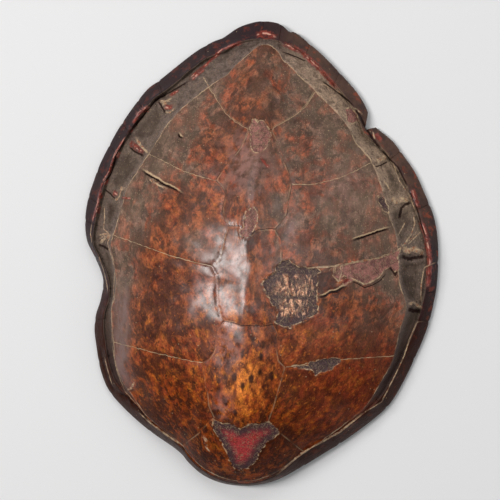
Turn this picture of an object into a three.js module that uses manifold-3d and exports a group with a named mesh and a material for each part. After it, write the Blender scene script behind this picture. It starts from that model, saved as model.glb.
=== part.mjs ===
// Carapace of an adult green sea turtle: the upper shell alone, cleaned, dried and lacquered.
// It lies rim down with its dome up. +Y points to the tail, +Z is up, and the origin is on the
// surface it rests on, under the middle of its outline. Lengths are in millimetres.
import * as THREE from "three";
import Module from "manifold-3d";

const wasm = await Module();
wasm.setup();

// ---- Driving dimensions ----
const CROWN_HEIGHT = 205; // outer surface over the plan centre, without the keel
const WALL = 7.5; // bone and horn together, square to the surface
const RIM_EDGE = 11; // height of the rim's outermost edge above its lower face
const RIM_CHAMFER = 3; // the lower edge of the rim is worn round
const REST_STRIP = 11; // inner edge of the rim's lower face, in from the outline
const INNER_WALL_INSET = 15; // where the hollow's wall starts, in from the outline
const KEEL_RISE = 9;
const KEEL_WIDTH = 38;
const SECTORS = 68;

// The rim's outline in plan, anticlockwise from the tail seen from below the dome's crown.
const RIM_OUTLINE = [
  [-2, 471], [27, 465], [44, 451], [53, 451], [86, 428], [112, 407], [148, 373], [185, 334],
  [205, 304], [217, 275], [226, 265], [260, 239], [286, 208], [309, 177], [329, 138], [352, 85],
  [362, 30], [363, -45], [359, -80], [347, -137], [324, -200], [304, -247], [280, -291],
  [256, -317], [192, -370], [152, -398], [106, -429], [56, -458], [4, -471], [-52, -469],
  [-92, -455], [-122, -433], [-141, -414], [-215, -369], [-271, -325], [-299, -295],
  [-317, -256], [-329, -204], [-334, -172], [-332, -141], [-324, -112], [-320, -72], [-327, -49],
  [-342, -20], [-358, 10], [-364, 52], [-360, 96], [-349, 136], [-340, 164], [-321, 207],
  [-298, 251], [-245, 327], [-222, 345], [-145, 408], [-109, 429], [-93, 435], [-59, 458],
  [-22, 470],
];
const PLAN_CENTRE = new THREE.Vector2(0, -60);

// What changes round the rim, as [degrees about the plan centre, value]. 0 is +X and 90 the tail.
// The ridge is the inner edge of the bony rim, and the seam is where the rim scutes meet the others.
const RIDGE_INSET = [
  [0, 22], [12, 20], [22, 28], [45, 26], [70, 27], [80, 26], [86, 35], [90, 41], [96, 36], [104, 31],
  [115, 32], [135, 30], [150, 32], [160, 32], [170, 20], [181, 19], [190, 25], [203, 28], [225, 30],
  [240, 23], [257, 18], [270, 11], [282, 18], [290, 28], [303, 24], [322, 24], [340, 24],
];
const SEAM_INSET = [
  [3, 75], [20, 83], [34, 81], [47, 63], [56, 54], [63, 62], [75, 72], [83, 72], [90, 52], [96, 75],
  [105, 90], [116, 91], [125, 102], [135, 100], [145, 91], [152, 91], [160, 86], [168, 69], [180, 43],
  [190, 43], [200, 52], [213, 50], [224, 44], [232, 34], [240, 29], [257, 24], [270, 17], [283, 24],
  [300, 30], [314, 33], [322, 41], [334, 40], [345, 51], [354, 53],
];
const RIM_LIFT = [
  [0, 0], [45, 0], [70, 4], [90, 12], [110, 4], [135, 0], [215, 0], [240, 8], [270, 20], [300, 8],
  [325, 0],
];
const RIDGE_HEIGHT = [
  [0, 36], [45, 34], [70, 36], [90, 42], [110, 36], [135, 34], [180, 38], [215, 42], [240, 58],
  [270, 62], [300, 58], [330, 42],
];
const SEAM_HEIGHT = [
  [0, 78], [30, 80], [60, 66], [75, 60], [90, 50], [105, 64], [125, 80], [150, 80], [180, 72],
  [215, 66], [240, 72], [270, 78], [300, 72], [325, 66],
];
const DOME_POWER = [
  [0, 2.1], [60, 2.0], [90, 1.95], [120, 2.0], [180, 2.1], [225, 2.6], [270, 3.6], [315, 2.6],
];
const GUTTER_DEPTH = [
  [0, 7], [60, 6], [80, 4], [90, 0], [100, 4], [120, 7], [160, 8], [180, 4], [210, 5], [228, 1],
  [240, 0], [300, 0], [315, 1], [330, 5],
];

// ---- Scute seams, cut as grooves; the plan points run tail to neck or outwards ----
const GROOVE_WIDTH = 5;
const GROOVE_DEPTH = 2.4;
const VERTEBRAL_SEAMS = [
  [[-111, 328], [-96, 312], [-66, 272], [-46, 256], [-14, 238], [-29, 202], [-72, 137]],
  [[112, 345], [90, 294], [56, 262], [29, 242], [55, 186], [76, 136]],
  [[-16, 237], [9, 233], [31, 241]],
  [[-72, 137], [-50, 108], [-54, 83], [-38, 50], [-49, 10], [-67, -28]],
  [[76, 136], [71, 78], [51, 48], [66, 10], [75, -24]],
  [[-40, 50], [-12, 50], [8, 36], [18, 45], [53, 48]],
  [[-67, -28], [-55, -64], [-52, -102], [-36, -132], [-53, -170], [-79, -214]],
  [[75, -24], [66, -102], [56, -133], [66, -179], [83, -214]],
  [[-38, -132], [-3, -138], [58, -133]],
  [[-79, -214], [-68, -275], [-55, -321], [-89, -356], [-122, -392]],
  [[83, -214], [72, -257], [53, -323], [90, -359], [122, -394]],
  [[-57, -321], [-16, -331], [0, -340], [16, -329], [55, -323]],
];
const COSTAL_SEAMS = [
  [[-72, 137], [-136, 152], [-178, 170], [-232, 193]],
  [[-67, -28], [-114, -20], [-200, 0], [-300, 27]],
  [[-79, -214], [-141, -208], [-227, -197], [-296, -191]],
  [[76, 136], [130, 142], [189, 167], [216, 184]],
  [[75, -24], [138, -21], [205, -8], [292, 26]],
  [[83, -214], [158, -201], [240, -193], [302, -188]],
];
const RIM_SEAM_ANGLES = [
  90, 105, 126, 140, 156, 174, 190, 207, 224, 243, 301, 319, 337, 351, 9, 27, 43, 75,
];
const CRACKS = [
  [[-235, 156], [-208, 141], [-152, 116], [-136, 106]],
  [[195, 32], [243, 52], [267, 61]],
];

// ---- Places where the horn has come off, down to a lower layer ----
const LOST_HORN_DEPTH = 2;
const LOST_HORN = [
  [[-57, -322], [-35, -331], [-16, -331], [0, -340], [16, -329], [38, -327], [53, -323], [71, -348],
    [40, -374], [27, -405], [10, -422], [-10, -428], [-23, -417], [-30, -389], [-44, -362]],
  [[67, -13], [80, -10], [94, -23], [139, -27], [136, -95], [139, -106], [101, -129], [71, -134],
    [60, -130], [66, -109], [32, -56], [57, -36]],
  [[-8, 260], [14, 257], [29, 232], [21, 201], [1, 192], [-6, 204], [-12, 242]],
  [[0, 83], [15, 78], [17, 59], [10, 44], [-12, 31], [-15, 41], [-7, 68]],
  [[286, 22], [284, -18], [258, -22], [236, -44], [206, -41], [186, -55], [169, -46], [165, -35],
    [168, -18], [205, -8], [245, 1]],
  [[124, -209], [155, -196], [184, -194], [168, -216], [137, -228]],
];

// ---- Breaks through the rim: wedges as plan triangles ----
const RIM_NOTCHES = [
  [[208, 259], [237, 270], [221, 283]],
  [[-3, 463], [2, 480], [-8, 480]],
];

// ---- Ribs: [the spine end's y, the outer end's half spread, the outer end's y] ----
const RIBS = [
  [-262, 246, -272], [-200, 282, -190], [-125, 290, -128], [-45, 292, -62], [35, 290, 20],
  [110, 276, 112], [185, 232, 198], [255, 160, 284],
];
const RIB_SECTION = [[-14, 4], [14, 4], [9, -5], [-9, -5]];
const SPINE_SECTION = [[-19, 7], [19, 7], [10, -12], [-10, -12]];
const SPINE_ENDS = [-330, 232];
// Where a rib's end crosses the gutter and lifts the horn over it.
const RIB_END_ANGLES = [13, 31, 47, 62, 120, 135, 150, 166, 178, 203, 337, 355];
const RIB_END_SECTION = [[-12, -8], [-6, 1], [6, 1], [12, -8]];

/** Value of a round-the-rim table at an angle in degrees, on a smooth periodic curve. */
function around(table, degrees) {
  const angle = THREE.MathUtils.euclideanModulo(degrees, 360);
  const count = table.length;
  const knot = (i) => {
    const turns = Math.floor(i / count);
    const [x, y] = table[i - turns * count];
    return [x + 360 * turns, y];
  };
  let i = -1;
  while (knot(i + 1)[0] <= angle) i += 1;
  const [[xa, ya], [xb, yb], [xc, yc], [xd, yd]] = [i - 1, i, i + 1, i + 2].map(knot);
  const span = xc - xb;
  const s = (angle - xb) / span;
  const slopeB = ((yc - ya) / (xc - xa)) * span;
  const slopeC = ((yd - yb) / (xd - xb)) * span;
  const near = (1 + 2 * s) * (1 - s) ** 2 * yb + s * (1 - s) ** 2 * slopeB;
  const far = s * s * (3 - 2 * s) * yc + s * s * (s - 1) * slopeC;
  return near + far;
}

/** The outline as a smooth closed curve, turned into [degrees, radius] about the plan centre. */
const outlineCurve = new THREE.CatmullRomCurve3(
  RIM_OUTLINE.map(([x, y]) => new THREE.Vector3(x, y, 0)), true, "centripetal",
);
const OUTLINE_SAMPLES = 1400;
const polarOutline = outlineCurve.getPoints(OUTLINE_SAMPLES).slice(0, -1).map((p) => {
  const dx = p.x - PLAN_CENTRE.x;
  const dy = p.y - PLAN_CENTRE.y;
  const degrees = THREE.MathUtils.radToDeg(Math.atan2(dy, dx));
  return [THREE.MathUtils.euclideanModulo(degrees, 360), Math.hypot(dx, dy)];
}).sort((a, b) => a[0] - b[0]);

/** Distance from the plan centre to the outline in a direction. */
function rimRadius(degrees) {
  const angle = THREE.MathUtils.euclideanModulo(degrees, 360);
  const next = polarOutline.findIndex(([a]) => a > angle);
  const after = next < 0 ? 0 : next;
  const before = (after + polarOutline.length - 1) % polarOutline.length;
  const [a0, r0] = polarOutline[before];
  const [a1, r1] = polarOutline[after];
  const span = THREE.MathUtils.euclideanModulo(a1 - a0, 360);
  const along = THREE.MathUtils.euclideanModulo(angle - a0, 360);
  return THREE.MathUtils.lerp(r0, r1, span > 0 ? along / span : 0);
}

/** Plan point at a radius in a direction from the plan centre. */
function planPoint(degrees, radius) {
  const angle = THREE.MathUtils.degToRad(degrees);
  return [PLAN_CENTRE.x + radius * Math.cos(angle), PLAN_CENTRE.y + radius * Math.sin(angle)];
}

/** The radii and heights that shape the shell in one direction from the plan centre. */
function sectionAt(degrees) {
  const rim = rimRadius(degrees);
  const lift = Math.max(0, around(RIM_LIFT, degrees));
  return {
    rim,
    lift,
    seam: rim - around(SEAM_INSET, degrees),
    ridge: rim - around(RIDGE_INSET, degrees),
    seamHeight: around(SEAM_HEIGHT, degrees),
    ridgeHeight: around(RIDGE_HEIGHT, degrees),
    edgeHeight: lift + RIM_EDGE,
    power: around(DOME_POWER, degrees),
    gutter: around(GUTTER_DEPTH, degrees),
  };
}

/** Rise of the keel along the midline, fading towards both ends. */
function keel(x, y) {
  const fade = THREE.MathUtils.clamp((y + 440) / 120, 0, 1) * THREE.MathUtils.clamp((400 - y) / 200, 0, 1);
  return KEEL_RISE * Math.exp(-((x / KEEL_WIDTH) ** 2)) * fade;
}

/** Height of the outer surface at a radius in one section: dome, then gutter, then the rim's band. */
function heightInSection(section, radius, gutterShare = 1) {
  const { rim, seam, ridge, seamHeight, ridgeHeight, edgeHeight, power, gutter } = section;
  if (radius <= seam) {
    return seamHeight + (CROWN_HEIGHT - seamHeight) * (1 - (radius / seam) ** power);
  }
  if (radius <= ridge) {
    const f = (radius - seam) / (ridge - seam);
    return THREE.MathUtils.lerp(seamHeight, ridgeHeight, f) - gutterShare * gutter * Math.sin(Math.PI * f);
  }
  const g = Math.min(1, (radius - ridge) / (rim - ridge));
  return THREE.MathUtils.lerp(ridgeHeight, edgeHeight, g ** 1.2);
}

/** Height of the outer surface over a plan point. */
function outerHeight(x, y, gutterShare = 1) {
  const dx = x - PLAN_CENTRE.x;
  const dy = y - PLAN_CENTRE.y;
  const section = sectionAt(THREE.MathUtils.radToDeg(Math.atan2(dy, dx)));
  return heightInSection(section, Math.hypot(dx, dy), gutterShare) + keel(x, y);
}

/** Height of the hollow's surface over a plan point: the keelless outer one moved in by the wall. */
function innerHeight(x, y) {
  const step = 2;
  const smooth = (px, py) => outerHeight(px, py, 0) - keel(px, py);
  const slopeX = (smooth(x + step, y) - smooth(x - step, y)) / (2 * step);
  const slopeY = (smooth(x, y + step) - smooth(x, y - step)) / (2 * step);
  return outerHeight(x, y, 0.6) - keel(x, y) - WALL * Math.hypot(1, slopeX, slopeY);
}

/** A solid from flat lists of points and triangles. */
function solidFrom(points, triangles) {
  return new wasm.Manifold(new wasm.Mesh({
    numProp: 3,
    vertProperties: new Float32Array(points.flat()),
    triVerts: new Uint32Array(triangles.flat()),
  }));
}

/** The triangles between two rings of any lengths, always stepping to whichever next point comes first. */
function stitch(inner, outer) {
  const triangles = [];
  let i = 0;
  let j = 0;
  while (i < inner.length || j < outer.length) {
    const a = inner[i % inner.length];
    const b = outer[j % outer.length];
    if ((i + 1) / inner.length <= (j + 1) / outer.length) {
      i += 1;
      triangles.push([a, b, inner[i % inner.length]]);
    } else {
      j += 1;
      triangles.push([a, b, outer[j % outer.length]]);
    }
  }
  return triangles;
}

/** Closes rings into one solid: a fan over the first, walls between them, a fan under the last. */
function closeRings(topCentre, rings, bottomCentre) {
  const points = [topCentre, ...rings.flat(), bottomCentre];
  const last = points.length - 1;
  let start = 1;
  const numbered = rings.map((points3) => {
    const numbers = points3.map((_, i) => start + i);
    start += points3.length;
    return numbers;
  });
  const first = numbered[0];
  const lowest = numbered[numbered.length - 1];
  const triangles = [
    ...first.map((a, i) => [0, a, first[(i + 1) % first.length]]),
    ...lowest.map((a, i) => [last, lowest[(i + 1) % lowest.length], a]),
  ];
  for (let k = 0; k + 1 < numbered.length; k += 1) {
    triangles.push(...stitch(numbered[k], numbered[k + 1]));
  }
  return solidFrom(points, triangles);
}

/** One ring of points, from a rule that gives [radius, height function] in each section. */
function ring(rule, count = SECTORS) {
  return Array.from({ length: count }, (_, i) => {
    const degrees = (360 * i) / count;
    const section = sectionAt(degrees);
    const [radius, height] = rule(section);
    const [x, y] = planPoint(degrees, radius);
    return [x, y, height(x, y, section)];
  });
}

/** The rings of the outer surface, from the crown to the rim's edge. */
function outerRings() {
  const follow = (x, y) => outerHeight(x, y);
  const dome = [[0.12, 9], [0.27, 18], [0.43, 28], [0.58, 40], [0.72, 52], [0.84, 60], [0.93, 68], [1, 68]];
  const gutter = [0.3, 0.7];
  const band = [0.5, 0.9];
  return [
    ...dome.map(([f, count]) => ring((s) => [s.seam * f, follow], count)),
    ...gutter.map((f) => ring((s) => [THREE.MathUtils.lerp(s.seam, s.ridge, f), follow])),
    ring((s) => [s.ridge - 2, (x, y) => outerHeight(x, y) + 2]),
    ring((s) => [s.ridge + 3, (x, y) => outerHeight(x, y) + 1]),
    ...band.map((f) => ring((s) => [THREE.MathUtils.lerp(s.ridge, s.rim, f), follow])),
    ring((s) => [s.rim, () => s.edgeHeight - 4]),
  ];
}

/** The rings under the rim and over the hollow, from the rest strip to the crown. */
function innerRings() {
  const hollow = [[1, 60], [0.86, 48], [0.68, 36], [0.47, 24], [0.22, 12]];
  const follow = (x, y, s) => Math.max(innerHeight(x, y), s.lift + 12);
  const start = (s) => Math.min(s.ridge, s.rim - INNER_WALL_INSET);
  return [
    ring((s) => [s.rim - RIM_CHAMFER, () => s.lift]),
    ring((s) => [s.rim - REST_STRIP, () => s.lift]),
    ring((s) => [start(s), follow]),
    ring((s) => [THREE.MathUtils.lerp(start(s), Math.min(s.seam, start(s) - 6), 0.5), follow]),
    ...hollow.map(([f, count]) => ring((s) => [Math.min(s.seam, start(s) - 6) * f, follow], count)),
  ];
}

/** Points along a plan polyline, no further apart than a step, with their left-hand normals. */
function walk(polyline, step) {
  const stations = [];
  polyline.forEach(([x, y], i) => {
    if (i === 0) stations.push([x, y]);
    if (i + 1 === polyline.length) return;
    const [nextX, nextY] = polyline[i + 1];
    const count = Math.ceil(Math.hypot(nextX - x, nextY - y) / step);
    for (let k = 1; k <= count; k += 1) {
      stations.push([THREE.MathUtils.lerp(x, nextX, k / count), THREE.MathUtils.lerp(y, nextY, k / count)]);
    }
  });
  return stations.map(([x, y], i) => {
    const [x0, y0] = stations[Math.max(0, i - 1)];
    const [x1, y1] = stations[Math.min(stations.length - 1, i + 1)];
    const length = Math.hypot(x1 - x0, y1 - y0);
    return { x, y, acrossX: (y1 - y0) / length, acrossY: -(x1 - x0) / length };
  });
}

/** A bar that follows a surface along a plan polyline. Its convex section is [across, up] pairs, clockwise seen along it. */
function barAlong(polyline, section, height, step = 32) {
  const stations = walk(polyline, step);
  const points = stations.flatMap((s) => section.map(([across, up]) => {
    const x = s.x + across * s.acrossX;
    const y = s.y + across * s.acrossY;
    return [x, y, height(x, y) + up];
  }));
  const sides = section.length;
  const triangles = [];
  for (let i = 0; i + 1 < stations.length; i += 1) {
    for (let j = 0; j < sides; j += 1) {
      const a = i * sides + j;
      const b = i * sides + ((j + 1) % sides);
      triangles.push([a, b, b + sides], [a, b + sides, a + sides]);
    }
  }
  const end = (stations.length - 1) * sides;
  for (let j = 1; j + 1 < sides; j += 1) {
    triangles.push([0, j + 1, j], [end, end + j, end + j + 1]);
  }
  return solidFrom(points, triangles);
}

/** An upright prism over a plan polygon. */
function prism(polygon, low, high) {
  const shape = new THREE.Shape(polygon.map(([x, y]) => new THREE.Vector2(x, y)));
  const contour = shape.getPoints();
  if (THREE.ShapeUtils.isClockWise(contour)) contour.reverse();
  const count = contour.length;
  const points = [...contour.map((p) => [p.x, p.y, low]), ...contour.map((p) => [p.x, p.y, high])];
  const triangles = THREE.ShapeUtils.triangulateShape(contour, []).flatMap(([a, b, c]) => [
    [a, c, b],
    [a + count, b + count, c + count],
  ]);
  for (let i = 0; i < count; i += 1) {
    const next = (i + 1) % count;
    triangles.push([i, next, next + count], [i, next + count, i + count]);
  }
  return solidFrom(points, triangles);
}

/** The shell before anything is cut into it or grown on it. */
function plainShell(outer) {
  const crown = [PLAN_CENTRE.x, PLAN_CENTRE.y];
  return closeRings(
    [...crown, outerHeight(...crown)],
    [...outer, ...innerRings()],
    [...crown, innerHeight(...crown)],
  );
}

/** Everything under the outer surface, moved down: what stays where horn is lost. */
function loweredBody(outer, depth) {
  const below = -60;
  const crown = [PLAN_CENTRE.x, PLAN_CENTRE.y];
  const wide = 1.15;
  const apron = ring((s) => [s.rim * wide, () => below + 1]);
  const whole = closeRings([...crown, outerHeight(...crown)], [...outer, apron], [...crown, below]);
  return whole.translate([0, 0, -depth]);
}

function seamGrooves() {
  const clear = 3;
  const half = (GROOVE_WIDTH / 2) * (1 + clear / GROOVE_DEPTH);
  const section = [[-half, clear], [half, clear], [0, -GROOVE_DEPTH]];
  const rimSeams = RIM_SEAM_ANGLES.map((degrees) => {
    const { ridge, rim } = sectionAt(degrees);
    return [planPoint(degrees, ridge - 7), planPoint(degrees, rim + 4)];
  });
  const lines = [...VERTEBRAL_SEAMS, ...COSTAL_SEAMS, ...CRACKS, ...rimSeams];
  return lines.map((line) => barAlong(line, section, outerHeight));
}

function ribEnds() {
  return RIB_END_ANGLES.map((degrees) => {
    const { seam, ridge } = sectionAt(degrees);
    const line = [planPoint(degrees, seam + 1), planPoint(degrees, ridge - 1)];
    return barAlong(line, RIB_END_SECTION, (x, y) => outerHeight(x, y, 0.1));
  });
}

function ribsAndSpine() {
  const ribs = [-1, 1].flatMap((side) => RIBS.map(([spineY, spread, endY]) => (
    barAlong([[side * 18, spineY], [side * spread, endY]], RIB_SECTION, innerHeight, 60)
  )));
  const [front, back] = SPINE_ENDS;
  return [...ribs, barAlong([[0, front], [0, back]], SPINE_SECTION, innerHeight, 46)];
}

/** The whole carapace as one solid. */
function carapaceSolid() {
  const outer = outerRings();
  const grown = wasm.Manifold.union([plainShell(outer), ...ribEnds(), ...ribsAndSpine()]);
  const kept = loweredBody(outer, LOST_HORN_DEPTH);
  const lost = LOST_HORN.map((polygon) => prism(polygon, 20, 260).subtract(kept));
  const notches = RIM_NOTCHES.map((polygon) => prism(polygon, -10, 90));
  return grown.subtract(wasm.Manifold.union([...seamGrooves(), ...lost, ...notches]));
}

/** A three.js geometry with flat faces from a solid. */
function geometryOf(solid) {
  const mesh = solid.getMesh();
  const indexed = new THREE.BufferGeometry();
  indexed.setAttribute("position", new THREE.BufferAttribute(mesh.vertProperties, 3));
  indexed.setIndex(new THREE.BufferAttribute(mesh.triVerts, 1));
  const flat = indexed.toNonIndexed();
  flat.computeVertexNormals();
  return flat;
}

const tortoiseshell = new THREE.MeshStandardMaterial({
  name: "tortoiseshell", color: 0x6b3a26, roughness: 0.38, metalness: 0,
});

const turtleShell = new THREE.Group();
const carapace = new THREE.Mesh(geometryOf(carapaceSolid()), tortoiseshell);
carapace.name = "carapace";
turtleShell.add(carapace);

export default turtleShell;
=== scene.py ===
"""Lacquered upper shell of a green sea turtle, lying on its rim on a pale studio floor.

The shell is one closed surface worked out on a polar grid about the plan's centre. Lengths inside the
shape functions are millimetres, +Y is the tail, +X the turtle's right as it is looked down on, +Z up.
"""

import logging
import math
from dataclasses import dataclass, field
from enum import Enum

import bpy
import numpy as np
from mathutils import Matrix, Vector

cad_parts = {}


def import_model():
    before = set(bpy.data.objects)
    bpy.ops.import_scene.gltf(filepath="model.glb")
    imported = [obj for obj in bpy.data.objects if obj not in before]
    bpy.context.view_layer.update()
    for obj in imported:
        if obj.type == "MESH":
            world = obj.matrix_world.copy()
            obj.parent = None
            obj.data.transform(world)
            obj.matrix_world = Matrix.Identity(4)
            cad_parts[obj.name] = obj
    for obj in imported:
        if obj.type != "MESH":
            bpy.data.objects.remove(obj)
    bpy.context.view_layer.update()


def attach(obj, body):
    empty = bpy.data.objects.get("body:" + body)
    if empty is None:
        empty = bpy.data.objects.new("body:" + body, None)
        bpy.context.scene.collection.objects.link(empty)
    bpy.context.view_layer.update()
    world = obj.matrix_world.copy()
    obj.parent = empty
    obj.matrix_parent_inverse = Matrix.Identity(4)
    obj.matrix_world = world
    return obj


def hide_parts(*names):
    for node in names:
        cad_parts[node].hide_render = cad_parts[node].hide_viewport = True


log = logging.getLogger("turtle_shell")

Array = np.ndarray
Knots = tuple[tuple[float, float], ...]
Path = tuple[tuple[float, float], ...]
Marks = tuple[tuple[float, float, Path], ...]
Ovals = tuple[tuple[float, float, float, float, float], ...]
Fields = dict[str, Array]
Socket = bpy.types.NodeSocket
MM = 0.001
MM_IN_METRE = 1000.0
# Nowhere near: where a search for the nearest starts, and what a stored distance says far from any mark.
FAR = 1e9
FAR_MARK = 1e3
# The colour mix node's sockets for its factor and its two colours.
MIX_SLOTS = (0, 6, 7)
ONES = (1.0, 1.0, 1.0)
NO_SHIFT = (0.0, 0.0, 0.0)


# ---- Small numeric tools ----


def srgb(red: int, green: int, blue: int) -> tuple[float, float, float, float]:
    """Linear colour of a 0 to 255 display colour."""
    parts = [c / 255.0 for c in (red, green, blue)]
    linear = [p / 12.92 if p < 0.04045 else ((p + 0.055) / 1.055) ** 2.4 for p in parts]
    return (linear[0], linear[1], linear[2], 1.0)


def ease(low: float, high: float, value: Array) -> Array:
    """Smooth step: 0 below low, 1 above high, with the cubic 3t^2 - 2t^3 between them."""
    t = np.clip((value - low) / (high - low), 0.0, 1.0)
    return t * t * (3.0 - 2.0 * t)


def hump(distance: Array, width: float) -> Array:
    """Bell curve of a distance: exp(-(distance / width)^2)."""
    return np.exp(-np.square(distance / width))


def around(knots: Knots, degrees: Array) -> Array:
    """Smooth closed curve through (degrees, value) knots.

    Each span is a cubic whose end slopes are those of the chord across the knot.

    Args:
        knots: Angles in rising order with a value at each.
        degrees: Angles to read the curve at.

    Returns:
        The curve's values.
    """
    x = np.array([k[0] for k in knots], dtype=float)
    y = np.array([k[1] for k in knots], dtype=float)
    x = np.concatenate([x[-2:] - 360.0, x, x[:2] + 360.0])
    y = np.concatenate([y[-2:], y, y[:2]])
    slope = np.zeros_like(x)
    slope[1:-1] = (y[2:] - y[:-2]) / (x[2:] - x[:-2])
    angle = np.mod(degrees, 360.0)
    i = np.searchsorted(x, angle, side="right") - 1
    span = x[i + 1] - x[i]
    s = (angle - x[i]) / span
    near = (1 + 2 * s) * (1 - s) ** 2 * y[i] + s * (1 - s) ** 2 * slope[i] * span
    far = s * s * (3 - 2 * s) * y[i + 1] + s * s * (s - 1) * slope[i + 1] * span
    return near + far


def closed_curve(points: Path, samples: int = 24) -> Array:
    """Closed centripetal spline through plan points.

    Args:
        points: The points in order.
        samples: Points on each span.

    Returns:
        An array of (x, y) rows.
    """
    p1 = np.array(points, dtype=float)
    p0, p2, p3 = np.roll(p1, 1, 0), np.roll(p1, -1, 0), np.roll(p1, -2, 0)
    t01 = np.linalg.norm(p1 - p0, axis=1, keepdims=True) ** 0.5
    t12 = np.linalg.norm(p2 - p1, axis=1, keepdims=True) ** 0.5
    t23 = np.linalg.norm(p3 - p2, axis=1, keepdims=True) ** 0.5
    m1 = t12 * ((p1 - p0) / t01 - (p2 - p0) / (t01 + t12) + (p2 - p1) / t12)
    m2 = t12 * ((p2 - p1) / t12 - (p3 - p1) / (t12 + t23) + (p3 - p2) / t23)
    s = (np.arange(samples) / samples)[None, :, None]
    curve = (
        (1 + 2 * s) * (1 - s) ** 2 * p1[:, None]
        + s * (1 - s) ** 2 * m1[:, None]
        + s * s * (3 - 2 * s) * p2[:, None]
        + s * s * (s - 1) * m2[:, None]
    )
    return curve.reshape(-1, 2)


def waves(x: Array, y: Array, length: float, seed: int, count: int = 20) -> Array:
    """Random smooth swell: the sum of plane waves of about one length in all directions.

    Args:
        x: Plan positions across.
        y: Plan positions along.
        length: The usual wavelength.
        seed: Fixes the directions and phases.
        count: How many waves are added.

    Returns:
        A field with a spread of about 1.
    """
    rng = np.random.default_rng(seed)
    total = np.zeros_like(x, dtype=float)
    for heading, phase, stretch in zip(
        rng.uniform(0, 2 * math.pi, count), rng.uniform(0, 2 * math.pi, count), rng.uniform(0.7, 1.5, count)
    ):
        k = 2 * math.pi / (length * stretch)
        total += np.cos(k * (x * math.cos(heading) + y * math.sin(heading)) + phase)
    return total * math.sqrt(2.0 / count)


def path_distance(x: Array, y: Array, path: Path) -> tuple[Array, Array, Array]:
    """Nearest distance to a plan path.

    Args:
        x: Plan positions across.
        y: Plan positions along.
        path: The path's points in order.

    Returns:
        The distance, the side (+1 left of the path, -1 right), and how far along it the nearest point is.
    """
    best = np.full(x.shape, FAR)
    side = np.ones(x.shape)
    along = np.zeros(x.shape)
    run = 0.0
    for (ax, ay), (bx, by) in zip(path[:-1], path[1:]):
        dx, dy = bx - ax, by - ay
        length = math.hypot(dx, dy)
        t = np.clip(((x - ax) * dx + (y - ay) * dy) / length**2, 0.0, 1.0)
        gap = np.hypot(x - ax - t * dx, y - ay - t * dy)
        closer = gap < best
        best = np.where(closer, gap, best)
        side = np.where(closer, np.sign(dx * (y - ay) - dy * (x - ax)), side)
        along = np.where(closer, run + t * length, along)
        run += length
    return best, side, along


def faded_ends(along: Array, path: Path, start: float, full: float) -> Array:
    """How strong a mark is: 0 up to start from its path's ends, in shares of the length, 1 from full on."""
    share = along / sum(math.dist(a, b) for a, b in zip(path[:-1], path[1:]))
    return ease(start, full, share) * ease(start, full, 1 - share)


def inside_polygon(x: Array, y: Array, polygon: Path) -> Array:
    """True where a point has an odd number of the polygon's edges to one side."""
    odd = np.zeros(x.shape, dtype=bool)
    for (ax, ay), (bx, by) in zip(polygon, polygon[1:] + polygon[:1]):
        if ay == by:
            continue
        crosses = (ay > y) != (by > y)
        odd ^= crosses & (x < (bx - ax) * (y - ay) / (by - ay) + ax)
    return odd


def polygon_depth(x: Array, y: Array, polygon: Path) -> Array:
    """Distance to a closed polygon's edge, positive inside it and negative outside."""
    gap, _, _ = path_distance(x, y, polygon + polygon[:1])
    return np.where(inside_polygon(x, y, polygon), gap, -gap)


# ---- The shell's plan and sections ----


@dataclass(frozen=True)
class Section:
    """What shapes the shell along rays from the plan's centre, one value for each ray."""

    degrees: Array
    rim: Array
    seam: Array
    ridge: Array
    lift: Array
    seam_height: Array
    ridge_height: Array
    edge_height: Array
    power: Array
    gutter: Array


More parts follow.
